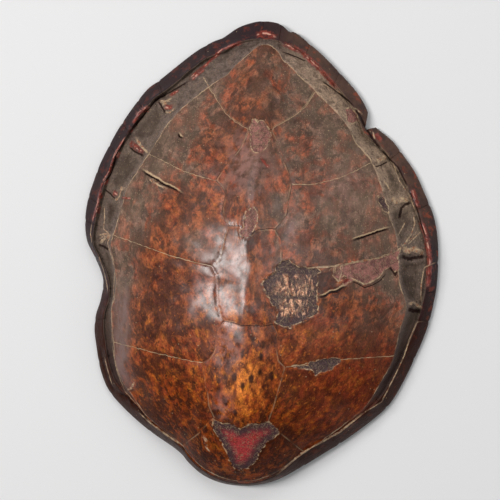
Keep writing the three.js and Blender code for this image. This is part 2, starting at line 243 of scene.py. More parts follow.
@dataclass
class ShellForm:
    """The carapace's large form: an uneven dome, a gutter round it and a thick rolled rim."""

    crown_height: float = 205.0
    wall: float = 7.5
    edge: float = 11.0
    keel_rise: float = 9.0
    keel_width: float = 38.0
    centre: tuple[float, float] = (0.0, -60.0)
    outline: Path = (
        (-2, 471), (27, 465), (44, 451), (53, 451), (86, 428), (112, 407), (148, 373), (185, 334),
        (205, 304), (217, 275), (226, 265), (260, 239), (286, 208), (309, 177), (329, 138),
        (352, 85), (362, 30), (363, -45), (359, -80), (347, -137), (324, -200), (304, -247),
        (280, -291), (256, -317), (192, -370), (152, -398), (106, -429), (56, -458), (4, -471),
        (-52, -469), (-92, -455), (-122, -433), (-141, -414), (-215, -369), (-271, -325),
        (-299, -295), (-317, -256), (-329, -204), (-334, -172), (-332, -141), (-324, -112),
        (-320, -72), (-327, -49), (-342, -20), (-358, 10), (-364, 52), (-360, 96), (-349, 136),
        (-340, 164), (-321, 207), (-298, 251), (-245, 327), (-222, 345), (-145, 408),
        (-109, 429), (-93, 435), (-59, 458), (-22, 470),
    )
    ridge_inset: Knots = (
        (0, 22), (12, 20), (22, 28), (45, 26), (70, 27), (80, 26), (86, 35), (90, 41), (96, 36),
        (104, 31), (115, 32), (135, 30), (150, 32), (160, 32), (170, 20), (181, 19), (190, 25),
        (203, 28), (225, 30), (240, 23), (257, 18), (270, 11), (282, 18), (290, 28), (303, 24),
        (322, 24), (340, 24),
    )
    seam_inset: Knots = (
        (3, 75), (20, 83), (34, 81), (47, 63), (56, 54), (63, 62), (75, 72), (83, 72), (90, 52),
        (96, 75), (105, 90), (116, 91), (125, 102), (135, 100), (145, 91), (152, 91), (160, 86),
        (168, 69), (180, 43), (190, 43), (200, 52), (213, 50), (224, 44), (232, 34), (240, 29),
        (257, 24), (270, 17), (283, 24), (300, 30), (314, 33), (322, 41), (334, 40), (345, 51),
        (354, 53),
    )
    rim_lift: Knots = (
        (0, 0), (45, 0), (70, 4), (90, 12), (110, 4), (135, 0), (215, 0), (240, 8), (270, 20),
        (300, 8), (325, 0),
    )
    ridge_height: Knots = (
        (0, 36), (45, 34), (70, 36), (90, 42), (110, 36), (135, 34), (180, 38), (215, 42),
        (240, 58), (270, 62), (300, 58), (330, 42),
    )
    seam_height: Knots = (
        (0, 78), (30, 80), (60, 66), (75, 60), (90, 50), (105, 64), (125, 80), (150, 80),
        (180, 72), (215, 66), (240, 72), (270, 78), (300, 72), (325, 66),
    )
    dome_power: Knots = (
        (0, 2.1), (60, 2.0), (90, 1.95), (120, 2.0), (180, 2.1), (225, 2.6), (270, 3.6), (315, 2.6),
    )
    gutter_depth: Knots = (
        (0, 7), (60, 6), (80, 4), (90, 0), (100, 4), (120, 7), (160, 8), (180, 4), (210, 5),
        (228, 1), (240, 0), (300, 0), (315, 1), (330, 5),
    )

    def polar(self, x: Array, y: Array) -> tuple[Array, Array]:
        """Angle in degrees and distance of plan points about the centre."""
        dx, dy = x - self.centre[0], y - self.centre[1]
        return np.mod(np.degrees(np.arctan2(dy, dx)), 360.0), np.hypot(dx, dy)

    def rim_radius(self, degrees: Array) -> Array:
        """Distance from the centre to the outline: the closed spline read in polar form."""
        curve = closed_curve(self.outline)
        angles, radii = self.polar(curve[:, 0], curve[:, 1])
        order = np.argsort(angles)
        return np.interp(degrees, angles[order], radii[order], period=360.0)

    def section(self, degrees: Array) -> Section:
        """Every sectional value along each of some rays."""
        rim = self.rim_radius(degrees)
        lift = np.maximum(0.0, around(self.rim_lift, degrees))
        return Section(
            degrees=degrees,
            rim=rim,
            seam=rim - around(self.seam_inset, degrees),
            ridge=rim - around(self.ridge_inset, degrees),
            lift=lift,
            seam_height=around(self.seam_height, degrees),
            ridge_height=around(self.ridge_height, degrees),
            edge_height=lift + self.edge,
            power=around(self.dome_power, degrees),
            gutter=around(self.gutter_depth, degrees),
        )

    def height(self, s: Section, radius: Array, gutter_share: float = 1.0) -> Array:
        """Outer height at radii along the rays.

        The dome is seam height + rise * (1 - (radius / seam radius)^power). The gutter is a straight
        fall less a half sine, and the band outside the ridge falls to the edge as share^1.45.

        Args:
            s: The rays' sections.
            radius: Radii, one row for each ring.
            gutter_share: How much of the gutter's sag counts.

        Returns:
            Heights of the same shape as radius.
        """
        inner = np.clip(radius / s.seam, 0.0, 1.0)
        dome = s.seam_height + (self.crown_height - s.seam_height) * (1 - inner**s.power)
        f = np.clip((radius - s.seam) / (s.ridge - s.seam), 0.0, 1.0)
        gutter = s.seam_height + (s.ridge_height - s.seam_height) * f
        gutter = gutter - gutter_share * s.gutter * np.sin(math.pi * f)
        g = np.clip((radius - s.ridge) / (s.rim - s.ridge), 0.0, 1.0)
        band = s.ridge_height + (s.edge_height - s.ridge_height) * g**1.45
        return np.where(radius <= s.seam, dome, np.where(radius <= s.ridge, gutter, band))

    def keel(self, x: Array, y: Array) -> Array:
        """Blunt ridge along the midline: rise * bell(x), faded out towards both ends."""
        fade = np.clip((y + 440) / 120, 0, 1) * np.clip((400 - y) / 200, 0, 1)
        return self.keel_rise * hump(x, self.keel_width) * fade

    def plain_height(self, x: Array, y: Array, gutter_share: float) -> Array:
        """Outer height over plan points, without the keel."""
        degrees, radius = self.polar(x, y)
        return self.height(self.section(degrees), radius, gutter_share)

    def inner_height(self, x: Array, y: Array) -> Array:
        """Height of the hollow: the outer height less the wall measured square to the slope."""
        step = 2.0
        slope_x = self.plain_height(x + step, y, 0) - self.plain_height(x - step, y, 0)
        slope_y = self.plain_height(x, y + step, 0) - self.plain_height(x, y - step, 0)
        steep = np.sqrt(1 + np.square(slope_x / (2 * step)) + np.square(slope_y / (2 * step)))
        return self.plain_height(x, y, 0.6) - self.wall * steep


# ---- Scutes, seams and damage, all drawn in plan ----


class LostHorn(Enum):
    """What shows where horn has come away, as the code the finish reads."""

    STREAKED = 0.0
    CRIMSON = 1.0
    MAUVE = 2.0
    CHARCOAL = 3.0


class Wear(Enum):
    """What a mark of the gutter and rim shows: a pale edge or painted highlight, a cleft or painted shadow,
    or a red knob.
    """

    CREAM = "cream"
    CLEFT = "cleft"
    REDDENED = "reddened"


Marked = dict[Wear, tuple[Array, Array, Array]]


@dataclass
class PlateMap:
    """Where the horn scutes meet, and where the horn is cracked or has come away.

    Each mark of the gutter and rim is its half width, how far it stands up (+) or is sunk (-), and its
    path.
    """

    vertebral_left: Path = (
        (-230, 470), (-160, 384), (-111, 328), (-96, 312), (-85, 296), (-66, 272), (-46, 256), (-26, 245),
        (-14, 238), (-23, 218), (-29, 202), (-43, 184), (-61, 157), (-72, 137), (-55, 120),
        (-50, 108), (-54, 83), (-50, 63), (-38, 50), (-45, 34), (-49, 10), (-53, -12),
        (-67, -28), (-58, -44), (-55, -64), (-55, -83), (-52, -102), (-44, -124), (-36, -132),
        (-51, -148), (-53, -170), (-57, -193), (-67, -208), (-79, -214), (-77, -233),
        (-74, -253), (-68, -275), (-66, -298), (-55, -321), (-63, -326), (-89, -356),
        (-113, -376), (-150, -412), (-200, -480),
    )
    vertebral_right: Path = (
        (200, -480), (150, -415), (111, -381), (90, -359), (72, -342), (53, -323), (63, -294), (72, -257),
        (78, -235), (83, -214), (70, -202), (66, -179), (66, -152), (56, -133), (66, -102),
        (72, -67), (75, -24), (67, -9), (66, 10), (62, 29), (51, 48), (63, 63), (71, 78),
        (73, 104), (76, 136), (67, 163), (55, 186), (41, 218), (29, 242), (38, 250), (56, 262),
        (74, 277), (90, 294), (104, 326), (112, 345), (150, 400), (210, 470),
    )
    vertebral_rows: tuple[Path, ...] = (
        ((-14, 238), (9, 234), (29, 242)),
        ((-38, 50), (-15, 50), (7, 34), (16, 44), (33, 47), (51, 48)),
        ((-36, -132), (-18, -134), (-3, -138), (14, -137), (37, -138), (56, -133)),
        ((-55, -321), (-35, -330), (-16, -331), (0, -340), (16, -329), (39, -326), (53, -323)),
    )
    costal_rows_left: tuple[Path, ...] = (
        ((-228, 191), (-178, 170), (-136, 152), (-93, 141), (-72, 137)),
        ((-297, 25), (-243, 12), (-200, 0), (-155, -12), (-114, -20), (-85, -26), (-67, -28)),
        ((-291, -192), (-227, -197), (-185, -203), (-141, -208), (-101, -213), (-79, -214)),
    )
    costal_rows_right: tuple[Path, ...] = (
        ((76, 136), (107, 136), (130, 142), (165, 154), (189, 167), (222, 188)),
        ((75, -24), (111, -24), (138, -21), (173, -17), (205, -8), (245, 1), (273, 12), (290, 25)),
        ((83, -214), (122, -206), (158, -201), (186, -197), (240, -193), (292, -189)),
    )
    rim_seams: tuple[float, ...] = (
        9, 27, 45, 57, 71, 80, 87, 91, 105, 119, 126, 133, 140, 148, 156, 163, 174, 185, 196, 209,
        220, 237, 250, 287, 300, 319, 337, 350,
    )
    cracks: tuple[Path, ...] = (
        (
            (-238, 158), (-224, 149), (-208, 141), (-192, 134), (-181, 127), (-165, 122), (-152, 116),
            (-136, 106),
        ),
        ((192, 31), (207, 37), (219, 42), (232, 47), (243, 52), (256, 57), (268, 61)),
        ((136, -79), (150, -76), (160, -68), (172, -66), (182, -58), (193, -55)),
        ((-161, 231), (-158, 224), (-151, 221)),
    )
    lost_horn: tuple[tuple[LostHorn, Path], ...] = (
        (LostHorn.CRIMSON, (
            (-57, -325), (-35, -331), (-16, -331), (-1, -340), (16, -329), (38, -327), (53, -323),
            (71, -340), (66, -353), (51, -362), (37, -381), (27, -405), (10, -422), (-10, -428),
            (-23, -417), (-29, -389), (-42, -365), (-54, -345),
        )),
        (LostHorn.STREAKED, (
            (67, -13), (80, -10), (94, -23), (135, -25), (139, -30), (133, -36), (136, -95),
            (139, -106), (121, -118), (101, -129), (86, -137), (71, -134), (60, -130), (66, -109),
            (53, -93), (40, -72), (32, -56), (46, -40), (57, -34), (57, -23),
        )),
        (LostHorn.MAUVE, (
            (-8, 260), (3, 254), (14, 257), (22, 246), (29, 232), (27, 218), (21, 201), (8, 194),
            (1, 192), (-6, 204), (-8, 226), (-12, 242),
        )),
        (LostHorn.MAUVE, (
            (0, 83), (5, 89), (15, 78), (17, 59), (10, 44), (0, 30), (-12, 31), (-15, 41),
            (-7, 50), (-7, 68),
        )),
        (LostHorn.MAUVE, (
            (288, 23), (283, 5), (286, -17), (277, -25), (267, -13), (258, -22), (249, -35),
            (236, -44), (223, -50), (214, -46), (206, -41), (195, -45), (186, -55), (182, -50),
            (193, -36), (182, -36), (177, -46), (169, -46), (165, -35), (168, -18), (205, -8),
            (245, 1), (273, 12),
        )),
        (LostHorn.CHARCOAL, (
            (90, -213), (124, -209), (129, -203), (155, -196), (184, -194), (183, -202),
            (168, -216), (150, -222), (137, -228), (133, -218), (118, -216),
        )),
        (LostHorn.CHARCOAL, ((240, 124), (248, 124), (259, 103), (260, 91), (252, 94), (243, 110))),
        (LostHorn.MAUVE, ((165, 295), (175, 300), (188, 288), (190, 272), (180, 268), (171, 270))),
    )
    # Pale broken edges and crusts, and painted highlight lines along the lower ridge and the left seam.
    cream_and_highlight_marks: Marks = (
        (1.5, 1.5, ((-213, 301), (-201, 299), (-187, 306))),
        (1.6, 1.0, ((-198, 277), (-188, 275), (-176, 284))),
        (2.0, 1.5, ((-258, 224), (-249, 210), (-224, 191))),
        (1.3, 1.0, ((-298, 100), (-289, 94), (-281, 103), (-278, 119), (-268, 119))),
        (0.8, 0.5, ((-318, 83), (-315, 61), (-316, 35), (-296, 23))),
        (2.2, 1.5, ((-295, 23), (-309, 16), (-323, 6))),
        (1.2, 1.0, ((-295, 23), (-310, 25), (-324, 22))),
        (0.9, 0.5, ((-294, 23), (-302, 7), (-290, -23), (-285, -41))),
        (0.8, 0.4, ((-344, 44), (-345, 25), (-340, 5))),
        (0.9, 0.4, ((-324, -21), (-317, -41), (-309, -69), (-302, -93))),
        (0.9, 0.4, ((-304, -226), (-294, -256), (-285, -283))),
        # Painted highlight: the bright line along the lower left lip.
        (1.7, 0.9, ((-222, -334), (-200, -351), (-158, -377), (-126, -393))),
        (1.0, 0.5, ((-124, 350), (-109, 328))),
        (1.0, 0.6, ((116, 345), (133, 338), (153, 329))),
        (3.6, 2.5, ((233, 193), (243, 199), (252, 208))),
        (0.7, 0.5, ((248, 210), (265, 191), (278, 157), (299, 129), (314, 96))),
        (4.0, 3.0, ((266, 123), (274, 115), (286, 120), (300, 118))),
        (1.1, 1.0, ((309, 91), (313, 73), (307, 51), (292, 27), (279, 15))),
        (0.9, 0.8, ((326, 58), (315, 46), (300, 29))),
        (4.2, 3.0, ((290, 23), (302, 18), (314, 22), (334, 15))),
        (0.9, 0.6, ((358, -2), (335, -14), (331, -48), (332, -82))),
        (2.4, 2.0, ((307, -87), (317, -84), (333, -93))),
        # Painted highlight: the bright lines along the lower right ridge.
        (0.9, 0.8, ((338, -121), (326, -122), (312, -160), (304, -190), (289, -227), (268, -274),
            (264, -284), (230, -306))),
        (1.6, 0.9, ((230, -306), (184, -347), (149, -369), (112, -391), (62, -440))),
        (0.9, 0.8, ((163, -18), (173, -14), (179, -29), (174, -47), (164, -38), (163, -18))),
        (2.6, 0.8, ((-76, -361), (-71, -371))),
        (1.5, 0.5, ((-73, -383), (-66, -392))),
        (1.2, 1.0, ((-259, 223), (-235, 201))),
        (2.2, 2.0, ((-207, 291), (-197, 295))),
        (2.2, 2.0, ((-281, 121), (-272, 115))),
        (1.5, 1.0, ((183, 299), (198, 288))),
        (1.2, 1.0, ((221, 253), (226, 238))),
        (0.9, 0.6, ((294, 74), (281, 46))),
        (1.3, 1.0, ((249, 155), (262, 136))),
        (1.9, 1.2, ((-226, 155), (-212, 148), (-199, 142), (-186, 135))),
        (1.5, 0.8, ((-214, 137), (-200, 130), (-186, 123), (-170, 118))),
        # Painted highlight: the bright edge line down the left seam.
        (0.9, 0.6, ((-283, -44), (-287, -80), (-286, -120), (-284, -160), (-284, -198))),
        (1.0, 0.7, ((-284, -198), (-273, -244), (-256, -292), (-228, -318), (-199, -345))),
        (1.7, 1.4, ((-247, -288), (-237, -282), (-229, -269))),
        (1.5, 1.2, ((118, -24), (138, -21), (173, -17), (205, -8), (245, 1), (273, 12))),
        (1.0, 0.8, ((192, -38), (206, -43), (222, -51), (236, -45), (249, -36), (258, -23))),
    )
    # Dark clefts, and painted shadows: dark bands under the rib ends, ledges and lips.
    cleft_and_shadow_marks: Marks = (
        (1.6, -3.5, ((-151, 344), (-188, 322), (-222, 303), (-245, 272), (-274, 236), (-280, 222))),
        (0.9, -2.5, ((-280, 222), (-298, 187), (-308, 151), (-324, 122), (-327, 108))),
        (1.7, -3.0, ((-216, 299), (-208, 289), (-197, 274))),
        (1.8, -3.0, ((-271, 204), (-258, 195), (-235, 185))),
        (1.5, -3.0, ((-320, 116), (-307, 108), (-292, 96))),
        (2.2, -2.5, ((-326, 2), (-314, 0), (-299, -7))),
        (1.4, -2.0, ((35, 406), (64, 396), (82, 389))),
        (1.4, -3.0, ((116, 350), (142, 333), (169, 314), (182, 302))),
        (2.2, -4.0, ((182, 302), (197, 278), (208, 259), (223, 237), (240, 218))),
        (1.6, -3.0, ((240, 218), (258, 199), (275, 183), (296, 145))),
        (1.3, -3.0, ((296, 145), (316, 102), (327, 69), (338, 41))),
        (1.2, -2.0, ((230, 181), (239, 184), (253, 194))),
        (2.4, -3.5, ((282, 80), (285, 102), (292, 110), (304, 115))),
        (3.2, -5.0, ((289, 7), (303, 2), (318, 5), (336, 9))),
        (3.4, -4.0, ((307, -97), (319, -100), (333, -102))),
        (1.2, -2.5, ((-317, -202), (-309, -236), (-294, -276), (-279, -298))),
        (1.8, -3.0, ((-273, -297), (-252, -302), (-220, -330), (-201, -351))),
        (0.8, -1.0, ((267, -276), (272, -293))),
        (1.4, -1.2, ((343, -64), (357, -61))),
        # Painted shadow under the pale lip of the bared strip.
        (0.9, -0.6, ((196, -45), (208, -49), (223, -57), (239, -51), (252, -42), (262, -28))),
        (1.6, -0.8, ((264, -20), (270, -17), (279, -30), (284, -22))),
    )
    red_marks: Marks = (
        (3.0, 3.5, ((-261, 275), (-253, 267))),
        (2.4, 3.0, ((-245, 282), (-235, 288))),
        (2.6, 3.5, ((-274, 234), (-268, 244))),
        (2.6, 3.0, ((-293, 195), (-298, 181))),
        (2.8, 3.5, ((-317, 137), (-320, 125))),
        (2.6, 3.5, ((-326, 109), (-327, 97))),
        (2.2, 2.5, ((-329, 80), (-332, 66))),
        (2.4, 2.0, ((-191, 311), (-175, 322))),
        (2.2, 2.0, ((-148, 345), (-124, 366))),
        (3.8, 2.0, ((-200, 287), (-190, 285), (-182, 288))),
        (4.0, 5.0, ((-271, 214), (-254, 203), (-235, 191))),
        (3.8, 2.5, ((-298, 110), (-288, 105))),
        (1.6, 1.5, ((-276, 99), (-253, 98))),
        (2.6, 2.0, ((-238, 289), (-252, 274), (-268, 253))),
        (2.4, 2.0, ((-153, 348), (-123, 374), (-90, 407), (-48, 424))),
        (4.5, 0.8, ((-22, 439), (-2, 444), (19, 435))),
        (3.6, 3.0, ((31, 424), (73, 407), (110, 374), (148, 335))),
        (3.6, 0.8, ((226, 250), (238, 237))),
        (3.6, 1.5, ((304, 141), (318, 104))),
        (3.8, 3.0, ((323, 80), (336, 53), (346, 2), (345, -54))),
        (1.5, 1.5, ((-281, 224), (-301, 191), (-309, 156), (-325, 131))),
        (2.0, 2.0, ((-325, 131), (-333, 83), (-342, 50))),
        (1.8, 0.5, ((181, -50), (192, -42))),
        (2.0, 0.6, ((-203, 143), (-194, 138))),
        (2.0, 0.6, ((14, 184), (22, 175), (30, 165))),
    )
    red_spread: float = 1.35
    pits: tuple[Path, ...] = (
        ((249, 186), (261, 190), (272, 167), (283, 144), (276, 126), (264, 129), (255, 154)),
        ((267, 95), (283, 102), (300, 107), (307, 87), (304, 59), (294, 33), (279, 46), (268, 68)),
        ((291, -5), (307, -2), (329, -5), (328, -42), (328, -78), (308, -79), (294, -56), (289, -30)),
        ((307, -101), (331, -104), (319, -138), (305, -174), (293, -183), (296, -149), (303, -123)),
        ((292, -195), (302, -194), (284, -231), (266, -272), (250, -278), (263, -242)),
        ((-217, 290), (-200, 264), (-221, 225), (-247, 218), (-268, 229), (-241, 265)),
        ((-273, 193), (-245, 180), (-250, 155), (-282, 117), (-307, 124), (-298, 163), (-287, 192)),
        ((-314, 90), (-282, 89), (-295, 50), (-309, 37)),
        ((-313, -6), (-299, -11), (-291, -31), (-296, -68), (-308, -38)),
    )
    stains: tuple[Path, ...] = (
        ((-5, 26), (2, 38), (16, 46), (23, 41), (26, 28), (13, 6), (0, -2), (-4, 9)),
        ((135, -34), (165, -25), (173, -33), (170, -63), (136, -72)),
    )

    def vertebral_depth(self, x: Array, y: Array) -> Array:
        """Distance to the border of the middle row of scutes, positive inside the row."""
        return polygon_depth(x, y, self.vertebral_left + self.vertebral_right)

    def row_depth(self, x: Array, y: Array, rows: tuple[Path, ...]) -> Array:
        """Distance to the nearest of some crossing seams, its sign changing at each of them."""
        depth = np.full(x.shape, FAR)
        sign = np.ones(x.shape)
        for row in rows:
            depth = np.minimum(depth, path_distance(x, y, row)[0])
            level = np.interp(x, [p[0] for p in row], [p[1] for p in row])
            sign = np.where(y < level, -sign, sign)
        return depth * sign

    def costal_depth(self, x: Array, y: Array) -> Array:
        """The crossing seams of the side rows, taken from whichever side a point is on."""
        left = self.row_depth(x, y, self.costal_rows_left)
        return np.where(x < 0, left, self.row_depth(x, y, self.costal_rows_right))

    def rim_depth(self, degrees: Array, radius: Array) -> Array:
        """Arc length to the nearest rim seam, its sign changing at each of them."""
        turn = np.mod(degrees[..., None] - np.array(self.rim_seams) + 180.0, 360.0) - 180.0
        sign = np.where((turn > 0).sum(axis=-1) % 2 == 0, 1.0, -1.0)
        return np.radians(np.abs(turn).min(axis=-1)) * radius * sign

    def crack_line(self, x: Array, y: Array) -> tuple[Array, Array]:
        """Signed distance to the nearest crack, and how open it is there, from 0 at its ends to 1."""
        best = np.full(x.shape, FAR)
        signed = np.full(x.shape, FAR_MARK)
        reach = np.zeros(x.shape)
        for crack in self.cracks:
            gap, side, along = path_distance(x, y, crack)
            closer = gap < best
            best = np.where(closer, gap, best)
            signed = np.where(closer, gap * side, signed)
            opened = faded_ends(along, crack, -0.01, 0.2) * ease(9.0, 5.0, gap)
            reach = np.where(closer, opened, reach)
        return signed, reach

    def mark_field(self, x: Array, y: Array, wear: Wear) -> tuple[Array, Array, Array]:
        """The nearest mark of one kind: its distance in half widths, how near it is, and the kind's relief.

        Args:
            x: Plan positions across.
            y: Plan positions along.
            wear: The kind of mark.

        Returns:
            The signed distance in half widths, a share that is 1 beside the mark and 0 from 7 away, and
            the sum of the marks' bells, each as high as its rise.
        """
        best = np.full(x.shape, FAR_MARK)
        signed = np.full(x.shape, 0.1 * FAR_MARK)
        near = np.zeros(x.shape)
        relief = np.zeros(x.shape)
        marks = {Wear.CREAM: self.cream_and_highlight_marks, Wear.CLEFT: self.cleft_and_shadow_marks, Wear.REDDENED: self.red_marks}
        for half_width, rise, path in marks[wear]:
            gap, side, along = path_distance(x, y, path)
            ends = faded_ends(along, path, -0.02, 0.1)
            half_width = half_width * (self.red_spread if wear is Wear.REDDENED else 1.0)
            edge_gap = gap - half_width
            closer = edge_gap < best
            best = np.where(closer, edge_gap, best)
            signed = np.where(closer, side * gap / half_width, signed)
            near = np.where(closer, ends * ease(7.0, 5.0, edge_gap), near)
            relief += rise * ends * hump(gap, 1.3 * half_width + 1.0)
        return signed, near, relief

    def deepest(self, x: Array, y: Array, places: tuple[Path, ...]) -> Array:
        """Depth inside the nearest of some outlined places, negative outside all of them."""
        return np.max([polygon_depth(x, y, place) for place in places], axis=0)

    def lost_depth(self, x: Array, y: Array) -> tuple[Array, Array]:
        """Depth inside the nearest patch of lost horn, negative outside, and that patch's kind."""
        best = np.full(x.shape, -FAR_MARK)
        kind = np.zeros(x.shape)
        for what, polygon in self.lost_horn:
            depth = polygon_depth(x, y, polygon)
            kind = np.where(depth > best, what.value, kind)
            best = np.maximum(depth, best)
        return best, kind


# ---- Node writing ----


@dataclass(frozen=True)
class Wire:
    """A node's output. Plain arithmetic on it writes the Math nodes that work the result out."""

    graph: "Graph"
    socket: Socket

    def __add__(self, other: "Feed") -> "Wire":
        """The sum."""
        return self.graph.math("ADD", self, other)

    def __radd__(self, other: float) -> "Wire":
        """The sum with a plain number first."""
        return self.graph.math("ADD", other, self)

    def __sub__(self, other: "Feed") -> "Wire":
        """The difference."""
        return self.graph.math("SUBTRACT", self, other)

    def __rsub__(self, other: float) -> "Wire":
        """A plain number less this."""
        return self.graph.math("SUBTRACT", other, self)

    def __mul__(self, other: "Feed") -> "Wire":
        """The product."""
        return self.graph.math("MULTIPLY", self, other)

    def __rtruediv__(self, other: float) -> "Wire":
        """A plain number over this."""
        return self.graph.math("DIVIDE", other, self)

    def __abs__(self) -> "Wire":
        """The size without its sign."""
        return self.graph.math("ABSOLUTE", self)


Feed = Wire | float | tuple


class Graph:
    """Writes one node tree: each call adds a node, feeds it and hands back its output."""

    def __init__(self, tree: bpy.types.NodeTree) -> None:
        """Starts on an emptied tree."""
        self.tree = tree
        self.tree.nodes.clear()

    def feed(self, socket: Socket, value: Feed) -> None:
        """Links a wire to a socket, or sets the socket's own value."""
        if isinstance(value, Wire):
            self.tree.links.new(value.socket, socket)
        else:
            socket.default_value = value

    def add(self, kind: str, **settings: object) -> bpy.types.Node:
        """Adds a node and sets its properties."""
        node = self.tree.nodes.new(kind)
        for name, value in settings.items():
            setattr(node, name, value)
        return node

    def fill(self, node: bpy.types.Node, **values: Feed) -> bpy.types.Node:
        """Feeds a node's inputs by name. Underscores in the names stand for spaces."""
        for name, value in values.items():
            self.feed(node.inputs[name.replace("_", " ")], value)
        return node

    def wires(self, node: bpy.types.Node) -> list[Wire]:
        """All outputs of a node in their order."""
        return [Wire(self, socket) for socket in node.outputs]

    def math(self, operation: str, first: Feed, second: Feed = 0.0, clamp: bool = False) -> Wire:
        """One Math node."""
        node = self.add("ShaderNodeMath", operation=operation, use_clamp=clamp)
        self.feed(node.inputs[0], first)
        self.feed(node.inputs[1], second)
        return self.wires(node)[0]

    def most(self, first: Wire, *others: Wire) -> Wire:
        """The largest of some wires."""
        for other in others:
            first = self.math("MAXIMUM", first, other)
        return first

    def step(self, value: Feed, low: Feed, high: Feed, start: Feed = 0.0, end: Feed = 1.0) -> Wire:
        """Smooth step of a value from start at low to end at high."""
        node = self.add("ShaderNodeMapRange", interpolation_type="SMOOTHSTEP")
        self.fill(node, Value=value, From_Min=low, From_Max=high, To_Min=start, To_Max=end)
        return self.wires(node)[0]

    def line(self, value: Wire, near: Feed, far: Feed) -> Wire:
        """A line drawn where a value passes zero: 1 up to near on either side, 0 from far on."""
        return self.step(abs(value), near, far, 1.0, 0.0)

    def mix(self, factor: Feed, first: Feed, second: Feed) -> Wire:
        """Blend of two colours or vectors."""
        node = self.add("ShaderNodeMix", data_type="RGBA", blend_type="MIX")
        for slot, value in zip(MIX_SLOTS, (factor, first, second)):
            self.feed(node.inputs[slot], value)
        return self.wires(node)[2]

    def tint(self, colour: Feed, factor: Feed) -> Wire:
        """A colour made lighter or darker by a factor."""
        node = self.add("ShaderNodeVectorMath", operation="SCALE")
        self.feed(node.inputs[0], colour)
        return self.wires(self.fill(node, Scale=factor))[0]

    def noise(
        self, place: Wire, size: Feed, detail: float = 2.0, rough: float = 0.5, warp: float = 0.0
    ) -> Wire:
        """Noise whose blotches are about size millimetres across.

        Args:
            place: The coordinates, in metres.
            size: The blotches' size in millimetres.
            detail: How many finer layers are added.
            rough: How strong each finer layer is.
            warp: How far the coordinates are bent first.

        Returns:
            The noise, about one half.
        """
        node = self.add("ShaderNodeTexNoise")
        self.fill(node, Vector=place, Scale=MM_IN_METRE / size, Detail=detail)
        return self.wires(self.fill(node, Roughness=rough, Distortion=warp))[0]

    def place(self, vector: Wire, scale: tuple = ONES, shift: tuple = NO_SHIFT, turn: float = 0.0) -> Wire:
        """Coordinates shifted, turned about Z and scaled."""
        node = self.fill(self.add("ShaderNodeMapping"), Vector=vector, Location=shift, Scale=scale)
        return self.wires(self.fill(node, Rotation=(0, 0, turn)))[0]

    def here(self) -> Wire:
        """The place on the object, in its own metres."""
        return Wire(self, self.add("ShaderNodeTexCoord").outputs["Object"])

    def parts(self, vector: Wire) -> list[Wire]:
        """The three numbers of a vector."""
        node = self.add("ShaderNodeSeparateXYZ")
        self.feed(node.inputs[0], vector)
        return self.wires(node)

    def read(self, name: str) -> list[Wire]:
        """The three numbers that a vertex attribute holds."""
        return self.parts(Wire(self, self.add("ShaderNodeAttribute", attribute_name=name).outputs["Vector"]))

    def read_one(self, name: str) -> Wire:
        """The one number that a vertex attribute holds."""
        return Wire(self, self.add("ShaderNodeAttribute", attribute_name=name).outputs["Fac"])

    def use(self, effect: bpy.types.NodeTree, **inputs: Feed) -> dict[str, Wire]:
        """Places a shared effect and hands back its outputs by name."""
        node = self.fill(self.add("ShaderNodeGroup", node_tree=effect), **inputs)
        return {wire.socket.name: wire for wire in self.wires(node)}

    def close(self, **outputs: Feed) -> bpy.types.NodeTree:
        """Feeds a shared effect's outputs and hands the effect back."""
        self.fill(self.add("NodeGroupOutput"), **outputs)
        return self.tree

    def surface(self, height: Feed, **inputs: Feed) -> None:
        """Ends a material: the shader with its inputs, a bump of so many millimetres, and the output."""
        shader = self.fill(self.add("ShaderNodeBsdfPrincipled"), **inputs)
        bump = self.fill(self.add("ShaderNodeBump"), Strength=1.0, Distance=MM, Height=height)
        self.fill(shader, Normal=self.wires(bump)[0])
        self.fill(self.add("ShaderNodeOutputMaterial"), Surface=self.wires(shader)[0])


def new_material(name: str) -> tuple[bpy.types.Material, Graph]:
    """A new material and the graph to write it in."""
    made = bpy.data.materials.new(name)
    made.use_nodes = True
    return made, Graph(made.node_tree)


